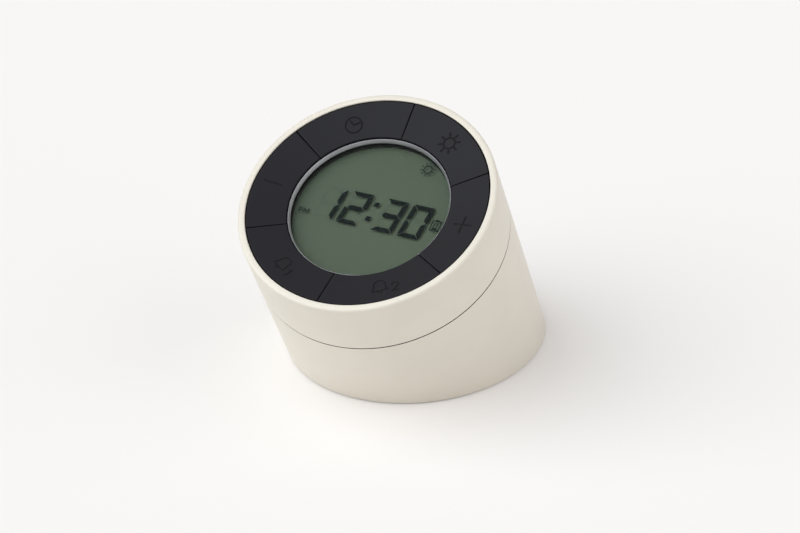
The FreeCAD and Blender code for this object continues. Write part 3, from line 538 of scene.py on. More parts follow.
# Distance between the bands of a wave texture of scale 1
WAVE_PERIOD = 0.314


@dataclass(frozen=True)
class Value:
    """One number socket of a node tree; arithmetic on it adds Math nodes."""

    graph: "Graph"
    socket: bpy.types.NodeSocket

    def _math(self, operation: str, first: Operand, second: Operand) -> "Value":
        """Add a Math node with one operation."""
        node = self.graph.node("ShaderNodeMath", {"operation": operation}, {0: first, 1: second})
        return Value(self.graph, node.outputs[0])

    def __add__(self, other: Operand) -> "Value":
        """Sum."""
        return self._math("ADD", self, other)

    def __radd__(self, other: Operand) -> "Value":
        """Sum, number first."""
        return self._math("ADD", other, self)

    def __rsub__(self, other: Operand) -> "Value":
        """Difference, number first."""
        return self._math("SUBTRACT", other, self)

    def __mul__(self, other: Operand) -> "Value":
        """Product."""
        return self._math("MULTIPLY", self, other)

    def most(self, other: Operand) -> "Value":
        """The larger of two values."""
        return self._math("MAXIMUM", self, other)

    def step(self, low: float, high: float) -> "Value":
        """Smooth rise from 0 at low to 1 at high."""
        inputs = {"Value": self, "From Min": low, "From Max": high, "To Min": 0.0, "To Max": 1.0}
        node = self.graph.node("ShaderNodeMapRange", {"interpolation_type": "SMOOTHSTEP"}, inputs)
        return Value(self.graph, node.outputs["Result"])


class Graph:
    """Node tree of one material, with the helpers that its finish uses."""

    def __init__(self, name: str) -> None:
        """Make an empty material with a Principled shader."""
        self.material = bpy.data.materials.new(name)
        self.material.use_nodes = True
        self.tree = self.material.node_tree
        self.tree.nodes.clear()
        self.output = self.node("ShaderNodeOutputMaterial", {}, {})
        self.shader = self.node("ShaderNodeBsdfPrincipled", {}, {})
        self.tree.links.new(self.shader.outputs["BSDF"], self.output.inputs["Surface"])

    def node(self, kind: str, settings: dict[str, Any], inputs: dict[Any, Any]) -> bpy.types.Node:
        """Add a node.

        Args:
            kind: Type of the node.
            settings: Its settings, which are set first.
            inputs: Values or links of its sockets, by name or number.

        Returns:
            The node.
        """
        made = self.tree.nodes.new(kind)
        for key, value in settings.items():
            setattr(made, key, value)
        for key, value in inputs.items():
            self.feed(made.inputs[key], value)
        return made

    def feed(self, socket: bpy.types.NodeSocket, value: Any) -> None:
        """Give a socket a number, a colour or a link."""
        if isinstance(value, Value):
            self.tree.links.new(value.socket, socket)
        elif isinstance(value, bpy.types.NodeSocket):
            self.tree.links.new(value, socket)
        elif isinstance(value, tuple) and len(value) == 3 and socket.type == "RGBA":
            socket.default_value = (*value, 1.0)
        else:
            socket.default_value = value

    def place(self, scale: Triple = UNSTRETCHED, turn: float = 0.0) -> bpy.types.NodeSocket:
        """Object coordinates, stretched and turned about the clock's sideways direction."""
        coordinates = self.node("ShaderNodeTexCoord", {}, {})
        if scale == UNSTRETCHED and turn == 0.0:
            return coordinates.outputs["Object"]
        inputs = {"Vector": coordinates.outputs["Object"], "Rotation": (turn, 0.0, 0.0), "Scale": scale}
        return self.node("ShaderNodeMapping", {}, inputs).outputs["Vector"]

    def noise(self, size_mm: float, detail: float = 3.0, where: Any = None) -> Value:
        """Noise between 0 and 1 with features of a size in millimetres."""
        inputs = {"Vector": where or self.place(), "Scale": 1.0 / (size_mm * MM), "Detail": detail}
        inputs["Roughness"] = NOISE_ROUGHNESS
        return Value(self, self.node("ShaderNodeTexNoise", {}, inputs).outputs["Fac"])

    def cells(self, size_mm: float, where: Any = None) -> Value:
        """Distance to the nearest of scattered points, in shares of a size in millimetres."""
        inputs = {"Vector": where or self.place(), "Scale": 1.0 / (size_mm * MM)}
        return Value(self, self.node("ShaderNodeTexVoronoi", {}, inputs).outputs["Distance"])

    def attribute(self, name: str) -> Value:
        """A mesh's own point attribute."""
        return Value(self, self.node("ShaderNodeAttribute", {"attribute_name": name}, {}).outputs["Fac"])

    def mix(self, share: Operand, first: Any, second: Any) -> bpy.types.NodeSocket:
        """Colour between two colours."""
        settings = {"data_type": "RGBA", "clamp_factor": True}
        inputs = {MIX_SHARE: share, MIX_FIRST: first, MIX_SECOND: second}
        return self.node("ShaderNodeMix", settings, inputs).outputs[MIX_RESULT]

    def bump(self, height: Value, depth_mm: float) -> bpy.types.NodeSocket:
        """Normal of a height field whose full height is a depth in millimetres."""
        inputs = {"Height": height, "Distance": depth_mm * MM, "Strength": 1.0}
        return self.node("ShaderNodeBump", {}, inputs).outputs["Normal"]

    def set(self, **values: Any) -> bpy.types.Material:
        """Feed the shader's sockets, with _ for a space, and give the material."""
        for key, value in values.items():
            self.feed(self.shader.inputs[key.replace("_", " ")], value)
        return self.material


# Finishes


@dataclass(frozen=True)
class MouldedPlastic:
    """Moulded plastic: fine eroded texture, faint flow marks, and slight wear of its sheen."""

    name: str
    colour: Colour
    roughness: float = 0.48
    grain_mm: float = 0.16
    grain_depth: float = 0.006
    tone: float = 0.02
    blotch_mm: float = 14.0
    specular: float = 0.5
    # Dark colour painted into recesses as shade, or None for none
    recess_shade: Colour | None = None

    def material(self) -> bpy.types.Material:
        """Build the material."""
        g = Graph(self.name)
        blotch = g.noise(self.blotch_mm, 2.0)
        speck = g.noise(self.grain_mm * 3.0, 3.0)
        darker = tuple(c * (1.0 - self.tone) for c in self.colour)
        lighter = tuple(min(1.0, c * (1.0 + self.tone)) for c in self.colour)
        colour = g.mix(blotch.step(0.3, 0.7) * 0.75 + speck * 0.25, darker, lighter)
        # Painted shade: points marked as lying in a recess take the dark shade colour
        if self.recess_shade:
            colour = g.mix(g.attribute("mark"), colour, self.recess_shade)
        grain = g.noise(self.grain_mm, 2.0)
        pits = g.cells(self.grain_mm * 2.2)
        sheen = self.roughness - 0.03 + blotch * 0.04 + speck * 0.03
        g.shader.inputs["Specular IOR Level"].default_value = self.specular
        return g.set(
            Base_Color=colour,
            Roughness=sheen,
            Normal=g.bump(grain * 0.6 + pits.step(0.0, 0.6) * 0.4, self.grain_depth),
        )


@dataclass(frozen=True)
class KeyPlastic:
    """Satin black key plastic whose sunk symbols are painted a little darker than the key, as shade in their
    grooves.
    """

    name: str
    colour: Colour = (0.0078, 0.0076, 0.0108)
    # Painted shade: the sunk symbols' grooves take this darker colour
    symbol: Colour = (0.0060, 0.0060, 0.0076)
    roughness: float = 0.52
    specular: float = 0.15
    blotch_mm: float = 9.0
    dust_mm: float = 0.35
    wear: float = 1.10
    grain_mm: float = 0.11
    grain_depth: float = 0.004
    symbol_matt: float = 0.2

    def material(self) -> bpy.types.Material:
        """Build the material."""
        g = Graph(self.name)
        mark = g.attribute("mark")
        blotch = g.noise(self.blotch_mm, 2.0)
        dust = g.noise(self.dust_mm, 2.0)
        worn = tuple(c * self.wear for c in self.colour)
        ground = g.mix(blotch.step(0.35, 0.65) * 0.6 + dust * 0.3, self.colour, worn)
        grain = g.noise(self.grain_mm, 2.0)
        g.shader.inputs["Specular IOR Level"].default_value = self.specular
        # Symbols take their painted groove shade here
        return g.set(
            Base_Color=g.mix(mark, ground, self.symbol),
            Roughness=self.roughness - 0.03 + blotch * 0.05 + mark * self.symbol_matt,
            Normal=g.bump(grain, self.grain_depth),
        )


@dataclass(frozen=True)
class SatinMetal:
    """Drawn or plated metal with fine lines along one direction and a little tarnish."""

    name: str
    colour: Colour
    roughness: float = 0.26
    line_mm: float = 0.05
    along: Triple = (0.04, 1.0, 1.0)
    line_depth: float = 0.002
    tarnish_mm: float = 5.0
    tarnish_shade: float = 0.82

    def material(self) -> bpy.types.Material:
        """Build the material."""
        g = Graph(self.name)
        lines = g.noise(self.line_mm, 2.0, g.place(self.along))
        tarnish = g.noise(self.tarnish_mm, 3.0)
        dull = tuple(c * self.tarnish_shade for c in self.colour)
        return g.set(
            Base_Color=g.mix(tarnish.step(0.35, 0.75) * 0.5 + lines * 0.2, self.colour, dull),
            Metallic=1.0,
            Roughness=self.roughness - 0.05 + lines * 0.08 + tarnish * 0.06,
            Normal=g.bump(lines, self.line_depth),
        )


@dataclass(frozen=True)
class DisplayReflector:
    """Grey-green reflector of a liquid crystal display, with a fine sparkle and a faint second tone."""

    name: str
    colour: Colour
    second: Colour
    specular: float = 0.1
    roughness: float = 0.5
    wash_mm: float = 30.0
    sparkle_mm: float = 0.09
    sparkle_gain: float = 1.12
    sparkle_depth: float = 0.002

    def material(self) -> bpy.types.Material:
        """Build the material."""
        g = Graph(self.name)
        wash = g.noise(self.wash_mm, 1.0)
        sparkle = g.noise(self.sparkle_mm, 2.0)
        ground = g.mix(wash.step(0.3, 0.7), self.colour, self.second)
        bright = tuple(c * self.sparkle_gain for c in self.colour)
        g.shader.inputs["Specular IOR Level"].default_value = self.specular
        return g.set(
            Base_Color=g.mix(sparkle.step(0.52, 0.75) * 0.5, ground, bright),
            Roughness=self.roughness + sparkle * 0.1,
            Normal=g.bump(sparkle, self.sparkle_depth),
        )


@dataclass(frozen=True)
class Clear:
    """Clear plastic or glass that mostly shows what is behind it."""

    name: str
    colour: Colour
    alpha: float
    roughness: float = 0.2
    haze_mm: float = 6.0
    haze_share: float = 0.25
    satin_mm: float = 0.08
    satin_depth: float = 0.001

    def material(self) -> bpy.types.Material:
        """Build the material."""
        g = Graph(self.name)
        haze = g.noise(self.haze_mm, 3.0)
        satin = g.noise(self.satin_mm, 2.0)
        return g.set(
            Base_Color=self.colour,
            Roughness=self.roughness + haze * 0.06,
            Alpha=self.alpha + haze * (self.alpha * self.haze_share),
            Normal=g.bump(satin, self.satin_depth),
        )


@dataclass(frozen=True)
class Rubber:
    """Matte rubber with a dusty bloom, or striped rubber where stripes have a width."""

    name: str
    colour: Colour
    stripe_mm: float = 0.0
    stripe: Colour = (0.5, 0.5, 0.48)
    roughness: float = 0.72
    bloom_mm: float = 1.4
    bloom_gain: float = 1.7
    grain_mm: float = 0.12
    grain_depth: float = 0.01

    def material(self) -> bpy.types.Material:
        """Build the material."""
        g = Graph(self.name)
        bloom = g.noise(self.bloom_mm, 4.0)
        pale = tuple(c * self.bloom_gain + 0.01 for c in self.colour)
        ground: Any = g.mix(bloom.step(0.45, 0.75) * 0.5, self.colour, pale)
        if self.stripe_mm:
            inputs = {"Vector": g.place(), "Scale": WAVE_PERIOD / (self.stripe_mm * MM)}
            wave = g.node("ShaderNodeTexWave", {"bands_direction": "X"}, inputs)
            ground = g.mix(Value(g, wave.outputs["Fac"]).step(0.4, 0.6), ground, self.stripe)
        grain = g.noise(self.grain_mm, 3.0)
        return g.set(
            Base_Color=ground,
            Roughness=self.roughness + bloom * 0.12,
            Normal=g.bump(grain, self.grain_depth),
        )


@dataclass(frozen=True)
class BoardLaminate:
    """Green solder lacquer over copper tracks that run with the board, with plated holes."""

    name: str
    lacquer: Colour = (0.012, 0.10, 0.04)
    track: Colour = (0.03, 0.21, 0.075)
    plating: Colour = (0.62, 0.55, 0.38)
    lane_mm: float = 9.0
    lane_offset: float = 0.37
    track_share: float = 0.055
    hole_mm: float = 5.5
    hole_edge: tuple[float, float] = (0.07, 0.10)
    cloud_mm: float = 2.5
    roughness: float = 0.28
    relief: float = 0.035

    def material(self) -> bpy.types.Material:
        """Build the material."""
        g = Graph(self.name)
        where = g.place(turn=-FRAME.lean)
        inputs = {"Vector": where, "Scale": 1.0 / (self.lane_mm * MM), "Mortar Size": self.track_share}
        lanes = g.node("ShaderNodeTexBrick", {"offset": self.lane_offset}, inputs)
        tracks = Value(g, lanes.outputs["Fac"])
        holes = 1.0 - g.cells(self.hole_mm, where).step(*self.hole_edge)
        cloud = g.noise(self.cloud_mm, 3.0)
        ground = g.mix(cloud * 0.3, g.mix(tracks, self.lacquer, self.track), self.lacquer)
        return g.set(
            Base_Color=g.mix(holes, ground, self.plating),
            Roughness=self.roughness + cloud * 0.1,
            Metallic=holes,
            Normal=g.bump(tracks * 0.7 + holes * 0.3, self.relief),
        )


@dataclass(frozen=True)
class CellJacket:
    """Wrapped battery jacket: dark, with a copper-coloured band at one end, over steel ends."""

    name: str
    jacket: Colour = (0.03, 0.035, 0.045)
    band: Colour = (0.55, 0.33, 0.10)
    steel: Colour = (0.66, 0.65, 0.62)
    scuffed: Colour = (0.25, 0.25, 0.25)
    half_length: float = 21.6
    band_start: float = 12.0
    blend: float = 0.1
    scuff_mm: float = 0.8
    scuff_depth: float = 0.01
    roughness: float = 0.34

    def material(self) -> bpy.types.Material:
        """Build the material."""
        g = Graph(self.name)
        parts = g.node("ShaderNodeSeparateXYZ", {}, {"Vector": g.place()})
        along = Value(g, parts.outputs["X"]) * (1.0 / MM)
        reach = along.most(along * -1.0)
        ends = reach.step(self.half_length, self.half_length + self.blend)
        banded = along.step(self.band_start, self.band_start + self.blend)
        scuff = g.noise(self.scuff_mm, 4.0)
        skin = g.mix(banded, self.jacket, self.band)
        rubbed = g.mix(scuff.step(0.62, 0.8) * 0.35, skin, self.scuffed)
        return g.set(
            Base_Color=g.mix(ends, rubbed, self.steel),
            Metallic=ends,
            Roughness=self.roughness + scuff * 0.12,
            Normal=g.bump(scuff, self.scuff_depth),
        )


@dataclass(frozen=True)
class WireJacket:
    """Smooth wire insulation with faint drawing lines."""

    name: str
    colour: Colour
    line_mm: float = 0.12
    along: Triple = (1.0, 1.0, 0.08)
    line_depth: float = 0.004
    roughness: float = 0.36

    def material(self) -> bpy.types.Material:
        """Build the material."""
        g = Graph(self.name)
        lines = g.noise(self.line_mm, 2.0, g.place(self.along))
        pale = tuple(min(1.0, c * 1.25 + 0.004) for c in self.colour)
        return g.set(
            Base_Color=g.mix(lines * 0.6, self.colour, pale),
            Roughness=self.roughness + lines * 0.08,
            Normal=g.bump(lines, self.line_depth),
        )


class Palette:
    """Every material of the clock, by the record's slot, and the display's own inks."""

    def __init__(self) -> None:
        """Build all the materials once."""
        self.slots = {slot: finish.material() for slot, finish in self.finishes().items()}
        ink = MouldedPlastic(
            "Display_ink", (0.002, 0.005, 0.005), 0.6, grain_mm=0.2, grain_depth=0.001,
            tone=0.03, specular=0.03,
        )
        self.ink = ink.material()
        self.ghost = Clear("Display_ghost", (0.015, 0.022, 0.018), alpha=0.03, roughness=0.5).material()
        mask = MouldedPlastic("Display_mask", (0.006, 0.0065, 0.0065), 0.5, grain_mm=0.2, grain_depth=0.002)
        self.mask = mask.material()

    def finishes(self) -> dict[str, Any]:
        """Finish of every slot of the record."""
        return {**self.plastics(), **self.metals(), **self.other_finishes()}

    def plastics(self) -> dict[str, Any]:
        """Finishes of the moulded plastics."""
        casing: Colour = (0.728, 0.676, 0.590)
        return {
            # Painted shade: the seam and the walls behind the keys take a dark brown colour
            "casing_plastic": MouldedPlastic(
                "Casing_plastic", casing, 0.36, specular=0.62, recess_shade=(0.020, 0.015, 0.011)
            ),
            "base_plastic": MouldedPlastic(
                "Base_plastic", (0.62, 0.58, 0.51), 0.55, grain_mm=0.22, grain_depth=0.012
            ),
            "inner_plastic": MouldedPlastic(
                "Inner_plastic", (0.007, 0.007, 0.008), 0.65, grain_mm=0.2, grain_depth=0.01, specular=0.08
            ),
            "button_plastic": KeyPlastic("Key_plastic"),
            "switch_plastic": MouldedPlastic(
                "Switch_plastic", (0.03, 0.03, 0.032), 0.4, grain_mm=0.1, grain_depth=0.004
            ),
            "plunger_plastic": MouldedPlastic(
                "Plunger_plastic", (0.55, 0.06, 0.05), 0.38, grain_mm=0.1, grain_depth=0.003
            ),
            "light_acrylic": MouldedPlastic(
                "Light_plate_acrylic", (0.82, 0.83, 0.82), 0.25, grain_mm=0.4, grain_depth=0.003
            ),
            "lamp_resin": MouldedPlastic(
                "Lamp_resin", (0.85, 0.80, 0.52), 0.22, grain_mm=0.2, grain_depth=0.002
            ),
            "chip_resin": MouldedPlastic(
                "Chip_resin", (0.018, 0.018, 0.02), 0.5, grain_mm=0.12, grain_depth=0.006
            ),
            "buzzer_plastic": MouldedPlastic(
                "Buzzer_plastic", (0.02, 0.02, 0.022), 0.45, grain_mm=0.15, grain_depth=0.006
            ),
        }

    def metals(self) -> dict[str, Any]:
        """Finishes of the bare metals."""
        return {
            "bezel_metal": SatinMetal("Well_ring_metal", (0.56, 0.56, 0.60), 0.45),
            "can_metal": SatinMetal("Crystal_can", (0.68, 0.68, 0.68), 0.2),
            "contact_metal": SatinMetal("Contact_metal", (0.64, 0.62, 0.56), 0.3),
            "screw_steel": SatinMetal(
                "Screw_steel", (0.56, 0.56, 0.57), 0.32, line_mm=0.08, along=(1.0, 0.2, 1.0)
            ),
        }

    def other_finishes(self) -> dict[str, Any]:
        """Finishes of the display, the rubber, the board, the cells and the leads."""
        return {
            "window_clear": Clear("Window_clear", (0.30, 0.34, 0.31), alpha=0.012, roughness=0.28),
            "display_glass": DisplayReflector(
                "Display_reflector", (0.078, 0.103, 0.068), second=(0.073, 0.099, 0.067)
            ),
            "strip_rubber": Rubber("Strip_rubber", (0.03, 0.03, 0.033), stripe_mm=0.5),
            "board_laminate": BoardLaminate("Board_laminate"),
            "cell_jacket": CellJacket("Cell_jacket"),
            "lead_red": WireJacket("Lead_red", (0.45, 0.02, 0.018)),
            "lead_black": WireJacket("Lead_black", (0.014, 0.014, 0.015)),
            "foot_rubber": Rubber("Foot_rubber", (0.05, 0.05, 0.05)),
        }

    def dress_nodes(self, frame: dict[str, Any]) -> None:
        """Give every carried-over CAD node its finish.
        """
        slot_of = {part["node"]: part["material_slot"] for part in frame["record"]["subparts"]}
        for name, node in frame["nodes"].items():
            finish = self.slots[slot_of[name]]
            if not node.data.materials:
                node.data.materials.append(finish)
            for place in node.material_slots:
                place.material = finish
            log.info("%s: dressed in %s", name, finish.name)


# Casing


@dataclass(frozen=True)
class Casing:
    """The two shells: a head with the rim, and a lower shell that is cut obliquely at the foot."""

    wall: float = 2.6
    shelf: float = 3.6
    rim_inner_round: float = 0.35
    seam_round: float = 0.14
    foot_round: float = 0.55
    guide_bottom: float = 67.2
    board_top: float = 62.1
    spigot_outside: float = 37.28
    spigot_inside: float = 35.28
    spigot_top: float = 57.6
    spigot_root: float = 46.0
    bead_bottom: float = 54.0
    bead_height: float = 1.0
    bead_depth: float = 0.5
    clearance: float = 0.1
    seam_margin: float = 1.0
    mark_spare: float = 0.02
    rim_steps: int = 8
    foot_steps: int = 6
    sharp: float = 40.0
    boss_radius: float = 3.18
    boss_bore: float = 1.26
    boss_low: float = 3.0
    boss_high: float = 13.0
    boss_segments: int = 32
    boss_places: tuple[Point, ...] = ((0.0, 38.28), (31.04, -14.34), (-31.04, -14.34))
    segments: int = 288

    @property
    def seam(self) -> tuple[float, float]:
        """Lower and upper edge of the seam, as levels along the axis."""
        middle = FRAME.face_distance - FRAME.seam_drop
        return middle - FRAME.seam_gap / 2, middle + FRAME.seam_gap / 2

    def in_shaded_recess(self, radius: np.ndarray, level: np.ndarray) -> np.ndarray:
        """Which profile points lie inside the seam or behind the keys, where shade falls; these take painted
        shade.
        """
        low, high = self.seam
        spare = self.mark_spare
        skin = FRAME.body_radius - self.seam_round / 2
        in_seam = (radius < skin) & (level > low - spare) & (level < high + spare)
        behind_keys = (radius < FRAME.body_radius - FRAME.rim_width + spare) & (
            level < FRAME.face_distance - self.rim_inner_round - self.clearance
        )
        return in_seam | (behind_keys & (level > high + spare))

    def head_profile(self) -> list[Point]:
        """Closed profile of the head, from the seam up the outside and down the inside."""
        outer, top = FRAME.body_radius, FRAME.face_distance
        inner = outer - FRAME.rim_width
        wall = outer - self.wall
        shelf = outer - self.shelf
        low = self.seam[1]
        r, s, q = FRAME.rim_round, self.seam_round, self.rim_inner_round
        groove = self.spigot_outside + self.bead_depth + self.clearance
        groove_top = self.bead_bottom + self.bead_height + self.clearance
        groove_low = self.bead_bottom - self.clearance
        turn = np.radians(np.linspace(0.0, 90.0, self.rim_steps + 1))
        rim = [(outer - r + r * math.cos(t), top - r + r * math.sin(t)) for t in turn]
        inside = [(inner + q - q * math.sin(t), top - q + q * math.cos(t)) for t in turn]
        return [
            *rounding((outer, low), (outer - s, low), (outer, low + s)),
            (outer, low + self.seam_margin),
            (outer, (low + top) / 2),
            *rim,
            *inside,
            (inner, top - q - 2 * self.clearance),
            (inner, self.guide_bottom),
            (shelf, self.guide_bottom),
            (shelf, self.board_top),
            (wall, self.board_top),
            (wall, groove_top),
            (groove, groove_top),
            (groove, groove_low),
            (wall, groove_low),
            (wall, low),
        ]

    def lower_profile(self, angle: np.ndarray) -> tuple[np.ndarray, np.ndarray]:
        """Closed profile of the lower shell at each angle; its foot follows the oblique cut.

        Args:
            angle: Angles about the axis.

        Returns:
            Radii and levels, one row per profile point and one column per angle.
        """
        outer, high, s = FRAME.body_radius, self.seam[0], self.seam_round
        wall = outer - self.wall
        e = self.foot_round

        def cut(radius: float) -> np.ndarray:
            """Level at which a wall of a radius ends at the foot, at each angle."""
            return FRAME.floor_level(np.full_like(angle, radius), angle, FRAME.floor_gap)

        corner, inside = cut(outer), cut(outer - e)
        t = np.linspace(0.0, 1.0, self.foot_steps + 1)[:, None]
        foot_radius = (1 - t) ** 2 * (outer - e) + 2 * t * (1 - t) * outer + t**2 * outer
        foot_level = (1 - t) ** 2 * inside + 2 * t * (1 - t) * corner + t**2 * (corner + e)
        upper = [
            *rounding((outer, high), (outer, high - s), (outer - s, high)),
            (self.spigot_outside, high),
            (self.spigot_outside, self.bead_bottom),
            (self.spigot_outside + self.bead_depth, self.bead_bottom),
            (self.spigot_outside + self.bead_depth, self.bead_bottom + self.bead_height),
            (self.spigot_outside, self.bead_bottom + self.bead_height),
            (self.spigot_outside, self.spigot_top),
            (self.spigot_inside, self.spigot_top),
            (self.spigot_inside, self.spigot_root),
            (wall, self.spigot_root),
        ]
        ones = np.ones_like(angle)
        rows_r = [foot_radius * ones, np.array([[r] for r, _ in upper]) * ones, wall * ones[None, :]]
        rows_z = [foot_level, np.array([[z] for _, z in upper]) * ones, cut(wall)[None, :]]
        return np.concatenate(rows_r), np.concatenate(rows_z)

    def build_head(self, palette: Palette) -> None:
        """Build the head shell."""
        profile = np.array(self.head_profile())
        shell = Shell()
        turned_ring(shell, profile[:, :1], profile[:, 1:], self.segments, self.in_shaded_recess(*profile.T))
        piece = shell.build("head_shell", self.sharp)
        finish_piece(piece, "housing", "casing_plastic", palette.slots["casing_plastic"], "upper_casing")

    def add_boss(self, shell: Shell, place: Point) -> None:
        """Add one upright tube that takes a base screw from below, cut off at the middle of the wall.

        Args:
            shell: Gathers the surface.
            place: Millimetres to the right of the axis foot and behind it.
        """
        angle = np.linspace(0.0, 2 * math.pi, self.boss_segments, endpoint=False)[None, :]
        bore, outer, low, high = self.boss_bore, self.boss_radius, self.boss_low, self.boss_high
        radius = np.array([bore, outer, outer, bore])[:, None]
        height = np.array([low, low, high, high])[:, None] * np.ones_like(angle)
        x = place[0] + radius * np.cos(angle)
        y = place[1] + radius * np.sin(angle)
        upright = np.stack([x, y, height], axis=-1).reshape(-1, 3)
        across, up, along = upright[:, 0], upright @ FRAME.uphill, upright @ FRAME.axis
        middle_of_wall = FRAME.body_radius - self.wall / 2
        share = np.minimum(1.0, middle_of_wall / np.hypot(across, up))
        points = FRAME.place(across * share, up * share, along)
        shell.add(points, [grid_faces(len(radius), self.boss_segments, True, True)])

    def build_lower(self, palette: Palette) -> None:
        """Build the lower shell with its three screw bosses."""
        angle = np.linspace(0.0, 2 * math.pi, self.segments, endpoint=False)
        radius, level = self.lower_profile(angle)
        shell = Shell()
        turned_ring(shell, radius, level, self.segments, self.in_shaded_recess(radius[:, 0], level.max(axis=1)))
        for place in self.boss_places:
            self.add_boss(shell, place)
        piece = shell.build("lower_shell", self.sharp)
        finish_piece(piece, "housing", "casing_plastic", palette.slots["casing_plastic"], "lower_casing")


# Keys


def uneven(low: float, high: float, edge: float, fine: Point, step: float, coarse: float) -> np.ndarray:
    """Grid lines from low to high: close at both ends and in one fine stretch, wide elsewhere.

    The end lines lie at edge (1 - cos(t)) from each end, with t from 0 to 90 degrees.

    Args:
        low: First line.
        high: Last line.
        edge: Width of the close stretch at each end.
        fine: First and last line of the fine stretch.
        step: Spacing in the fine stretch.
        coarse: Spacing elsewhere.

    Returns:
        The lines in rising order.
    """
    end_lines = 7
    closest = 0.008
    near = edge * (1.0 - np.cos(np.linspace(0.0, math.pi / 2, end_lines)))
    start, end = max(fine[0], low + edge + step), min(fine[1], high - edge - step)
    middle = np.arange(start, end, step)
    before = np.linspace(low + edge, start, max(2, int((start - low - edge) / coarse) + 2))
    after = np.linspace(middle[-1], high - edge, max(2, int((high - edge - middle[-1]) / coarse) + 2))
    lines = np.unique(np.round(np.concatenate([low + near, before, middle, after, high - near]), 4))
    keep = np.concatenate([[True], np.diff(lines) > closest])
    return lines[keep]


@dataclass(frozen=True)
class FaceKey:
    """One sector key: a dished cap with rounded edges and a sunk symbol, a stem and two pins."""

    name: str
    turn: float
    symbol: KeySymbol
    inner: float = 25.4
    outer: float = 37.35
    half_angle: float = 29.75
    inner_level: float = 69.75
    outer_level: float = 72.1
    thickness: float = 1.3
    edge: float = 0.17
    groove: float = 0.2
    stem_circle: float = 32.5
    stem_radius: float = 2.496
    flange_radius: float = 3.198
    stem_bottom: float = 66.42
    flange_height: float = 0.7
    pin_radius: float = 1.2
    pin_spread: float = 15.0
    pin_bottom: float = 66.7
    stem_bevel: float = 0.15
    pin_bevel: float = 0.2
    stem_segments: int = 40
    pin_segments: int = 24
    symbol_soft: float = 0.2
    symbol_spare: float = 0.6
    fine_step: float = 0.085
    coarse_step: float = 0.7
    sharp: float = 50.0

    @property
    def body(self) -> str:
        """CAD body of this key."""
        return f"key_{self.name}"

    @property
    def node(self) -> str:
        """CAD node that this key's cap stands for."""
        return f"button_{self.name}"

    def cone(self, radius: np.ndarray) -> np.ndarray:
        """Level of the dished top: it rises evenly from the inner to the outer edge."""
        share = (radius - self.inner) / (self.outer - self.inner)
        return self.inner_level + share * (self.outer_level - self.inner_level)

    def top(self, radius: np.ndarray, angle: np.ndarray) -> tuple[np.ndarray, np.ndarray]:
        """Level of the cap's top and the share of its symbol there.

        With s and q the lengths by which a point lies inside the edge width of a side and of an
        arc, and h = hypot(s, q), the rounding takes off edge - sqrt(edge^2 - h^2). The symbol's
        share rises across the side of its groove as t^2 (3 - 2t).

        Args:
            radius: Radii of the grid.
            angle: Angles of the grid from the key's middle.

        Returns:
            Levels and symbol shares.
        """
        side = radius * np.sin(math.radians(self.half_angle) - np.abs(angle))
        arc_edge = np.minimum(radius - self.inner, self.outer - radius)
        near_side = np.clip(self.edge - side, 0.0, None)
        near_arc = np.clip(self.edge - arc_edge, 0.0, None)
        inside = np.minimum(np.hypot(near_side, near_arc), self.edge)
        taken = self.edge - np.sqrt(np.maximum(self.edge**2 - inside**2, 0.0))
        face_angle = angle + math.radians(self.turn)
        x, y = radius * np.cos(face_angle), radius * np.sin(face_angle)
        away = stroke_distance(x, y, self.symbol.strokes())
        share = np.clip((self.symbol.width / 2 - away) / self.symbol_soft + 0.5, 0.0, 1.0)
        share = share * share * (3.0 - 2.0 * share)
        return self.cone(radius) - taken - self.groove * share, share

    def symbol_window(self) -> tuple[Point, Point]:
        """Radii and angles that the symbol spans, with a little to spare."""
        points = np.concatenate(self.symbol.strokes())
        radius = np.hypot(points[:, 0], points[:, 1])
        angle = np.arctan2(points[:, 1], points[:, 0]) - math.radians(self.turn)
        angle = (angle + math.pi) % (2 * math.pi) - math.pi
        spare = self.symbol_spare
        span = (angle.min() * self.outer, angle.max() * self.outer)
        return (radius.min() - spare, radius.max() + spare), (span[0] - spare, span[1] + spare)

    def add_cap(self, shell: Shell) -> None:
        """Add the cap: top grid, straight sides and a conical underside.

        The rim's points run along the inner arc, out along one side, back along the outer arc and
        in along the other side. The underside is made of strips between the two arcs, with one
        face of many corners at each side.
        """
        window_r, window_a = self.symbol_window()
        half = math.radians(self.half_angle)
        steps = (self.fine_step, self.coarse_step)
        radii = uneven(self.inner, self.outer, self.edge, window_r, *steps)
        reach = half * self.outer
        angles = uneven(-reach, reach, self.edge, window_a, *steps) / self.outer
        radius, angle = np.meshgrid(radii, angles, indexing="ij")
        level, share = self.top(radius, angle)
        rows, columns = radius.shape
        number = np.arange(rows * columns).reshape(rows, columns)
        rim = np.concatenate([number[0, :-1], number[:-1, -1], number[-1, :0:-1], number[:0:-1, 0]])
        count = len(rim)
        flat_r, flat_a = radius.ravel()[rim], angle.ravel()[rim]
        face = np.concatenate([angle.ravel(), flat_a]) + math.radians(self.turn)
        all_r = np.concatenate([radius.ravel(), flat_r])
        all_z = np.concatenate([level.ravel(), self.cone(flat_r) - self.thickness])
        points = FRAME.place(all_r * np.cos(face), all_r * np.sin(face), all_z)
        top = grid_faces(rows, columns, False, False)[:, ::-1]
        low = rows * columns + np.arange(count)
        after = np.roll(np.arange(count), -1)
        sides = np.stack([rim, rim[after], low[after], low], axis=-1)
        inner_arc = low[: columns]
        outer_arc = low[columns + rows - 2 : 2 * columns + rows - 2][::-1]
        strips = np.stack([inner_arc[1:-2], inner_arc[2:-1], outer_arc[2:-1], outer_arc[1:-2]], axis=-1)
        last = np.concatenate([[inner_arc[-2]], low[columns - 1 : columns + rows - 1], [outer_arc[-2]]])
        first_side = low[2 * columns + rows - 3 :]
        first = np.concatenate([[outer_arc[1]], first_side, [inner_arc[0], inner_arc[1]]])
        marks = np.concatenate([share.ravel(), np.zeros(count)])
        shell.add(points, [top, sides, strips, last[None, :], first[None, :]], marks)

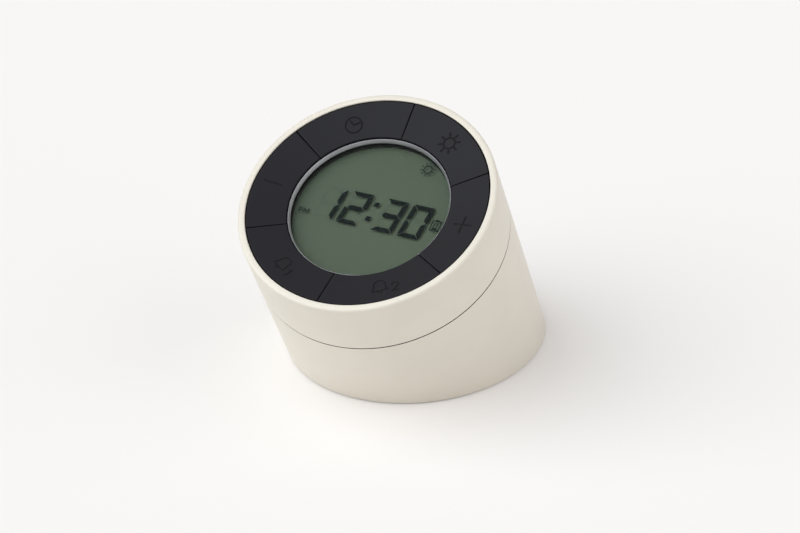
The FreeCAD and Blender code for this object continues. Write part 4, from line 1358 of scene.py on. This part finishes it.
    def build(self, palette: Palette) -> None:
        """Build the key with its stem and pins."""
        shell = Shell()
        self.add_cap(shell)
        turn = math.radians(self.turn)
        inside_key = self.cone(np.array(self.stem_circle)) - self.thickness / 2
        flange_top = self.stem_bottom + self.flange_height
        stem = [
            (0.0, self.stem_bottom),
            (self.flange_radius - self.stem_bevel, self.stem_bottom),
            (self.flange_radius, self.stem_bottom + self.stem_bevel),
            (self.flange_radius, flange_top),
            (self.stem_radius, flange_top),
            (self.stem_radius, inside_key),
            (0.0, inside_key),
        ]
        reach = self.stem_circle
        turned_solid(shell, stem, self.stem_segments, reach * math.cos(turn), reach * math.sin(turn))
        for spread in (self.pin_spread, -self.pin_spread):
            angle = turn + math.radians(spread)
            pin = [
                (0.0, self.pin_bottom),
                (self.pin_radius - self.pin_bevel, self.pin_bottom),
                (self.pin_radius, self.pin_bottom + self.pin_bevel),
                (self.pin_radius, inside_key),
                (0.0, inside_key),
            ]
            turned_solid(shell, pin, self.pin_segments, reach * math.cos(angle), reach * math.sin(angle))
        piece = shell.build(f"key_cap_{self.name}", self.sharp)
        finish_piece(piece, self.body, "button_plastic", palette.slots["button_plastic"], self.node)


@dataclass(frozen=True)
class KeyRing:
    """The six keys in order, clockwise from the upper right."""

    line_width: float = 0.42
    bold_width: float = 0.52

    def keys(self) -> list[FaceKey]:
        """All six keys."""
        rows = [
            ("light", 60.0, Glyph.SUN, self.line_width),
            ("plus", 0.0, Glyph.PLUS, self.bold_width),
            ("alarm_2", -60.0, Glyph.BELL_TWO, self.line_width),
            ("alarm_1", -120.0, Glyph.BELL_ONE, self.line_width),
            ("minus", 180.0, Glyph.MINUS, self.line_width),
            ("clock", 120.0, Glyph.CLOCK, self.line_width),
        ]
        return [FaceKey(name, turn, KeySymbol(glyph, width)) for name, turn, glyph, width in rows]

    def build(self, palette: Palette) -> None:
        """Build the six keys."""
        for key in self.keys():
            key.build(palette)


# Display


@dataclass(frozen=True)
class Digit:
    """Seven-bar digit that leans: x = left + u + slant (y - foot), y = foot + v."""

    left: float
    lit: str
    width: float = 7.12
    height: float = 12.0
    bar: float = 1.5
    middle_bar: float = 1.7
    gap: float = 0.17
    slant: float = 0.098
    foot: float = -6.2

    def outlines(self) -> dict[str, np.ndarray]:
        """Outline of each bar, a to g clockwise from the top, anticlockwise corners."""
        w, h, t, g = self.width, self.height, self.bar, self.gap
        m, half = h / 2, self.middle_bar / 2
        top = [(g, h), (t + g, h - t), (w - t - g, h - t), (w - g, h)]
        right_high = [(w, m + g), (w, h - g), (w - t, h - t - g), (w - t, m + half + g), (w - t / 2, m + g)]
        middle = [
            (t / 2 + g, m), (t + g, m - half), (w - t - g, m - half),
            (w - t / 2 - g, m), (w - t - g, m + half), (t + g, m + half),
        ]
        right_low = self.upside_down(right_high)
        bars = {
            "a": top,
            "b": right_high,
            "c": right_low,
            "d": self.upside_down(top),
            "e": self.mirrored(right_low),
            "f": self.mirrored(right_high),
            "g": middle,
        }
        return {name: self.lean(np.array(shape)) for name, shape in bars.items()}

    def upside_down(self, shape: list[Point]) -> list[Point]:
        """Outline flipped top to bottom, with its corners still anticlockwise."""
        return [(u, self.height - v) for u, v in shape][::-1]

    def mirrored(self, shape: list[Point]) -> list[Point]:
        """Outline flipped left to right, with its corners still anticlockwise."""
        return [(self.width - u, v) for u, v in shape][::-1]

    def lean(self, shape: np.ndarray) -> np.ndarray:
        """Lean a shape and move it to the digit's place."""
        across = self.left + shape[:, 0] + self.slant * shape[:, 1]
        return np.stack([across, self.foot + shape[:, 1]], axis=-1)


@dataclass(frozen=True)
class Display:
    """Liquid crystal display: reflector, black border, marks, window and well ring."""

    radius: float = FRAME.display_radius
    glass_radius: float = 27.0
    glass_bottom: float = 64.45
    reflector_top: float = 65.45
    marks_level: float = 66.16
    marks_thickness: float = 0.02
    glass_top: float = 66.25
    ledge_top: float = 66.85
    window_top: float = 67.65
    window_radius: float = 26.5
    ring_outside: float = 25.1
    ring_top: float = 69.65
    ring_sunk: float = 0.48
    ring_slope: float = 1.15
    ring_lip: float = 0.06
    border_gap: float = 0.02
    corner_round: float = 0.05
    window_bevel: float = 0.12
    shift: Point = (-0.19, 0.23)
    dots: tuple[Point, ...] = ((0.83, 2.67), (0.23, -2.70))
    half_dot: float = 0.8
    dot_slant: float = 0.11
    letters: tuple[Point, Point] = ((-22.2, -5.6), (-20.5, -5.6))
    sun: Point = (11.1, 18.8)
    battery: Point = (21.6, -0.1)
    sun_radius: float = 1.3
    sun_rays: tuple[float, float] = (1.7, 2.45)
    battery_half_width: float = 1.4
    battery_half_height: float = 1.7
    line_width: float = 0.3
    case_width: float = 0.28
    cap_width: float = 0.4
    bar_width: float = 0.62
    upright_width: float = 0.24
    segments: int = 192

    def digits(self) -> list[Digit]:
        """The four digits with the bars that are lit."""
        return [Digit(-18.05, "bc"), Digit(-9.34, "abged"), Digit(2.3, "abgcd"), Digit(11.12, "abcdef")]

    def moved(self, outline: np.ndarray) -> np.ndarray:
        """Outline moved to where the mark lies at its own depth."""
        return outline + np.array(self.shift)

    def border(self) -> Shell:
        """Black border that fills the glass beyond the reflector."""
        inside = self.radius + self.border_gap
        profile = np.array(softened([
            (inside, self.glass_bottom),
            (self.glass_radius, self.glass_bottom),
            (self.glass_radius, self.glass_top),
            (inside, self.glass_top),
        ], self.corner_round, 2))
        shell = Shell()
        turned_ring(shell, profile[:, :1], profile[:, 1:], self.segments)
        return shell

    def build_reflector(self, palette: Palette) -> None:
        """Build the reflector and its border."""
        shell = Shell()
        low, high, r = self.glass_bottom, self.reflector_top, self.radius
        turned_solid(shell, [(0.0, low), (r, low), (r, high), (0.0, high)], self.segments)
        piece = shell.build("display_reflector")
        finish_piece(piece, "housing", "display_glass", palette.slots["display_glass"], "display_glass")
        border = self.border().build("display_border")
        finish_piece(border, "housing", "display_glass", palette.mask, "display_glass")

    def build_marks(self, palette: Palette) -> None:
        """Build the lit bars and the other marks, and the faint bars that are off."""
        low, high = self.marks_level, self.marks_level + self.marks_thickness
        lit, off = Shell(), Shell()
        for digit in self.digits():
            for name, outline in digit.outlines().items():
                add_prism(lit if name in digit.lit else off, self.moved(outline), low, high)
        half = self.half_dot
        for centre in self.dots:
            square = np.array([(-half, -half), (half, -half), (half, half), (-half, half)])
            square[:, 0] += self.dot_slant * square[:, 1]
            add_prism(lit, self.moved(square + np.array(centre)), low, high)
        for path, width in self.small_marks():
            add_ribbon(lit, self.moved(path), width, low, high)
        ink = lit.build("display_marks")
        finish_piece(ink, "housing", "display_glass", palette.ink, "display_glass")
        ghosts = off.build("display_marks_off")
        finish_piece(ghosts, "housing", "display_glass", palette.ghost, "display_glass")

    def small_marks(self) -> list[tuple[np.ndarray, float]]:
        """Strokes of the afternoon sign, the sun and the battery, each with its width."""
        return self.afternoon_sign() + self.sun_sign() + self.battery_sign()

    def afternoon_sign(self) -> list[tuple[np.ndarray, float]]:
        """Letters P and M, each one stroke."""
        letter_p = line((0.0, 0.0), (0.0, 1.6), (0.9, 1.6), (1.05, 1.2), (0.9, 0.75), (0.1, 0.75))
        letter_m = line((0.0, 0.0), (0.0, 1.6), (0.75, 0.5), (1.5, 1.6), (1.5, 0.0))
        strokes = zip((letter_p, letter_m), self.letters)
        return [(letter + np.array(foot), self.line_width) for letter, foot in strokes]

    def sun_sign(self) -> list[tuple[np.ndarray, float]]:
        """Sun: a circle and ten rays."""
        strokes = [arc(self.sun, self.sun_radius, 0.0, 360.0, 36), *rays(self.sun, *self.sun_rays, 10, 15.0)]
        return [(stroke, self.line_width) for stroke in strokes]

    def battery_sign(self) -> list[tuple[np.ndarray, float]]:
        """Battery: a case with a cap on top, a bar at its foot and two uprights."""
        x, y = self.battery
        left, right = x - self.battery_half_width, x + self.battery_half_width
        low, high = y - self.battery_half_height, y + self.battery_half_height
        case = line((left, low), (right, low), (right, high), (left, high), (left, low))
        cap = line((x - 0.6, high + 0.32), (x + 0.6, high + 0.32))
        bar = line((x - 0.8, low + 0.62), (x + 0.8, low + 0.62))
        uprights = [line((x + side, y - 0.4), (x + side, y + 1.15)) for side in (-0.45, 0.45)]
        widths = (self.case_width, self.cap_width, self.bar_width, self.upright_width, self.upright_width)
        return list(zip((case, cap, bar, *uprights), widths))

    def build_glass(self, palette: Palette) -> None:
        """Build the window over the display."""
        shell = Shell()
        low, high, r, e = self.ledge_top, self.window_top, self.window_radius, self.window_bevel
        profile = [(0.0, low), (r - e, low), (r, low + e), (r, high - e), (r - e, high), (0.0, high)]
        turned_solid(shell, profile, self.segments)
        piece = shell.build("front_window")
        finish_piece(piece, "housing", "window_clear", palette.slots["window_clear"], "display_window")

    def build_ring(self, palette: Palette) -> None:
        """Build the silver ring that lines the well."""
        crest = self.ring_top - self.ring_sunk
        profile = np.array(softened([
            (self.radius, self.window_top),
            (self.ring_outside, self.window_top),
            (self.ring_outside, crest),
            (self.ring_outside - self.ring_lip, crest),
            (self.radius, crest - self.ring_slope),
        ], self.corner_round, 3))
        shell = Shell()
        turned_ring(shell, profile[:, :1], profile[:, 1:], self.segments)
        piece = shell.build("well_ring")
        finish_piece(piece, "housing", "bezel_metal", palette.slots["bezel_metal"], "display_bezel")

    def build(self, palette: Palette) -> None:
        """Build the whole display."""
        self.build_reflector(palette)
        self.build_marks(palette)
        self.build_glass(palette)
        self.build_ring(palette)


# Floor, light and camera


@dataclass(frozen=True)
class Lamp:
    """Very broad lamp that is far away, like a large soft box."""

    name: str
    strength: float
    spread: float
    azimuth: float
    height: float
    colour: Colour

    def build(self) -> None:
        """Build the lamp, turned so that it shines from its azimuth and height."""
        lamp = bpy.data.lights.new(self.name, "SUN")
        lamp.energy = self.strength
        lamp.angle = math.radians(self.spread)
        lamp.color = self.colour
        holder = bpy.data.objects.new(self.name, lamp)
        bpy.context.scene.collection.objects.link(holder)
        a, e = math.radians(self.azimuth), math.radians(self.height)
        toward = Vector((math.cos(a) * math.cos(e), math.sin(a) * math.cos(e), math.sin(e)))
        holder.rotation_mode = "QUATERNION"
        holder.rotation_quaternion = toward.to_track_quat("Z", "Y")


def seen_directly(tree: bpy.types.NodeTree) -> bpy.types.NodeSocket:
    """Socket that is 1 for rays from the camera, reflections and clear things, and 0 for others."""
    path = tree.nodes.new("ShaderNodeLightPath")
    seen = path.outputs["Is Camera Ray"]
    for ray in ("Is Glossy Ray", "Is Transmission Ray"):
        either = tree.nodes.new("ShaderNodeMath")
        either.operation = "MAXIMUM"
        tree.links.new(seen, either.inputs[0])
        tree.links.new(path.outputs[ray], either.inputs[1])
        seen = either.outputs[0]
    return seen


@dataclass(frozen=True)
class Studio:
    """Pale floor, soft light from the left, a weak fill and the camera at the photograph's angle."""

    floor: Colour = (0.935, 0.908, 0.894)
    floor_glow: float = 0.2
    half_floor: float = 3.0
    sky: float = 0.352
    sky_colour: Colour = (0.985, 0.995, 1.0)
    lamps: tuple[Lamp, ...] = (
        Lamp("key_light", 2.36, 66.0, 224.0, 46.0, (0.955, 1.0, 1.02)),
        Lamp("fill_light", 0.96, 70.0, 8.0, 28.0, (1.0, 0.985, 0.96)),
    )
    camera_place: Triple = (0.34686, -0.70194, 0.44933)
    camera_aim: Triple = (-0.3906, 0.7901, -0.4724)
    lens: float = 128.57
    sensor_width: float = 36.0
    clip: tuple[float, float] = (0.01, 50.0)

    def build_floor(self) -> None:
        """Build the floor: it glows a little where it is seen, and it is clear from below."""
        h = self.half_floor
        mesh = bpy.data.meshes.new("floor")
        mesh.from_pydata([(-h, -h, 0.0), (h, -h, 0.0), (h, h, 0.0), (-h, h, 0.0)], [], [(0, 1, 2, 3)])
        floor = bpy.data.objects.new("floor", mesh)
        bpy.context.scene.collection.objects.link(floor)
        g = Graph("Floor_paper")
        mottle = g.noise(1.2, 4.0)
        paper = tuple(c * (1.0 - self.floor_glow) for c in self.floor)
        darker = tuple(c * 0.99 for c in paper)
        glow = tuple(c * self.floor_glow for c in self.floor)
        seen = Value(g, seen_directly(g.tree))
        shown = g.mix(seen, (0.0, 0.0, 0.0), glow)
        ground = g.mix(seen, self.floor, g.mix(mottle, darker, paper))
        g.set(Base_Color=ground, Roughness=0.9, Emission_Color=shown)
        g.shader.inputs["Emission Strength"].default_value = 1.0
        g.shader.inputs["Specular IOR Level"].default_value = 0.0
        clear = g.node("ShaderNodeBsdfTransparent", {}, {})
        back = g.node("ShaderNodeNewGeometry", {}, {}).outputs["Backfacing"]
        inputs = {0: back, 1: g.shader.outputs["BSDF"], 2: clear.outputs["BSDF"]}
        both = g.node("ShaderNodeMixShader", {}, inputs)
        g.tree.links.new(both.outputs["Shader"], g.output.inputs["Surface"])
        mesh.materials.append(g.material)
        log.info("floor: %.1f m wide", 2 * h)

    def build_light(self) -> None:
        """Build an even sky and the two lamps."""
        world = bpy.data.worlds.new("Soft_sky")
        bpy.context.scene.world = world
        world.use_nodes = True
        tree = world.node_tree
        tree.nodes.clear()
        lit = tree.nodes.new("ShaderNodeBackground")
        lit.inputs["Color"].default_value = (*self.sky_colour, 1.0)
        lit.inputs["Strength"].default_value = self.sky
        seen = tree.nodes.new("ShaderNodeBackground")
        seen.inputs["Color"].default_value = (*self.floor, 1.0)
        seen.inputs["Strength"].default_value = 1.0
        mix = tree.nodes.new("ShaderNodeMixShader")
        tree.links.new(seen_directly(tree), mix.inputs[0])
        tree.links.new(lit.outputs[0], mix.inputs[1])
        tree.links.new(seen.outputs[0], mix.inputs[2])
        tree.links.new(mix.outputs[0], tree.nodes.new("ShaderNodeOutputWorld").inputs["Surface"])
        for lamp in self.lamps:
            lamp.build()

    def build_camera(self) -> None:
        """Build the camera."""
        data = bpy.data.cameras.new("photo_camera")
        data.sensor_width = self.sensor_width
        data.lens = self.lens
        data.clip_start, data.clip_end = self.clip
        camera = bpy.data.objects.new("photo_camera", data)
        bpy.context.scene.collection.objects.link(camera)
        camera.rotation_mode = "QUATERNION"
        camera.location = self.camera_place
        camera.rotation_quaternion = Vector(self.camera_aim).to_track_quat("-Z", "Y")
        bpy.context.scene.camera = camera

    def build(self) -> None:
        """Build floor, light and camera."""
        self.build_floor()
        self.build_light()
        self.build_camera()
        bpy.context.scene.view_settings.view_transform = "Standard"


def main() -> None:
    """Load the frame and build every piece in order."""
    logging.basicConfig(level=logging.INFO, format="%(name)s: %(message)s")
    bpy.ops.wm.read_factory_settings(use_empty=True)
    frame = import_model()
    palette = Palette()
    palette.dress_nodes(frame)
    casing = Casing()
    casing.build_head(palette)
    casing.build_lower(palette)
    KeyRing().build(palette)
    Display().build(palette)
    Studio().build()
    bpy.context.view_layer.update()


if __name__ == "__main__":
    main()
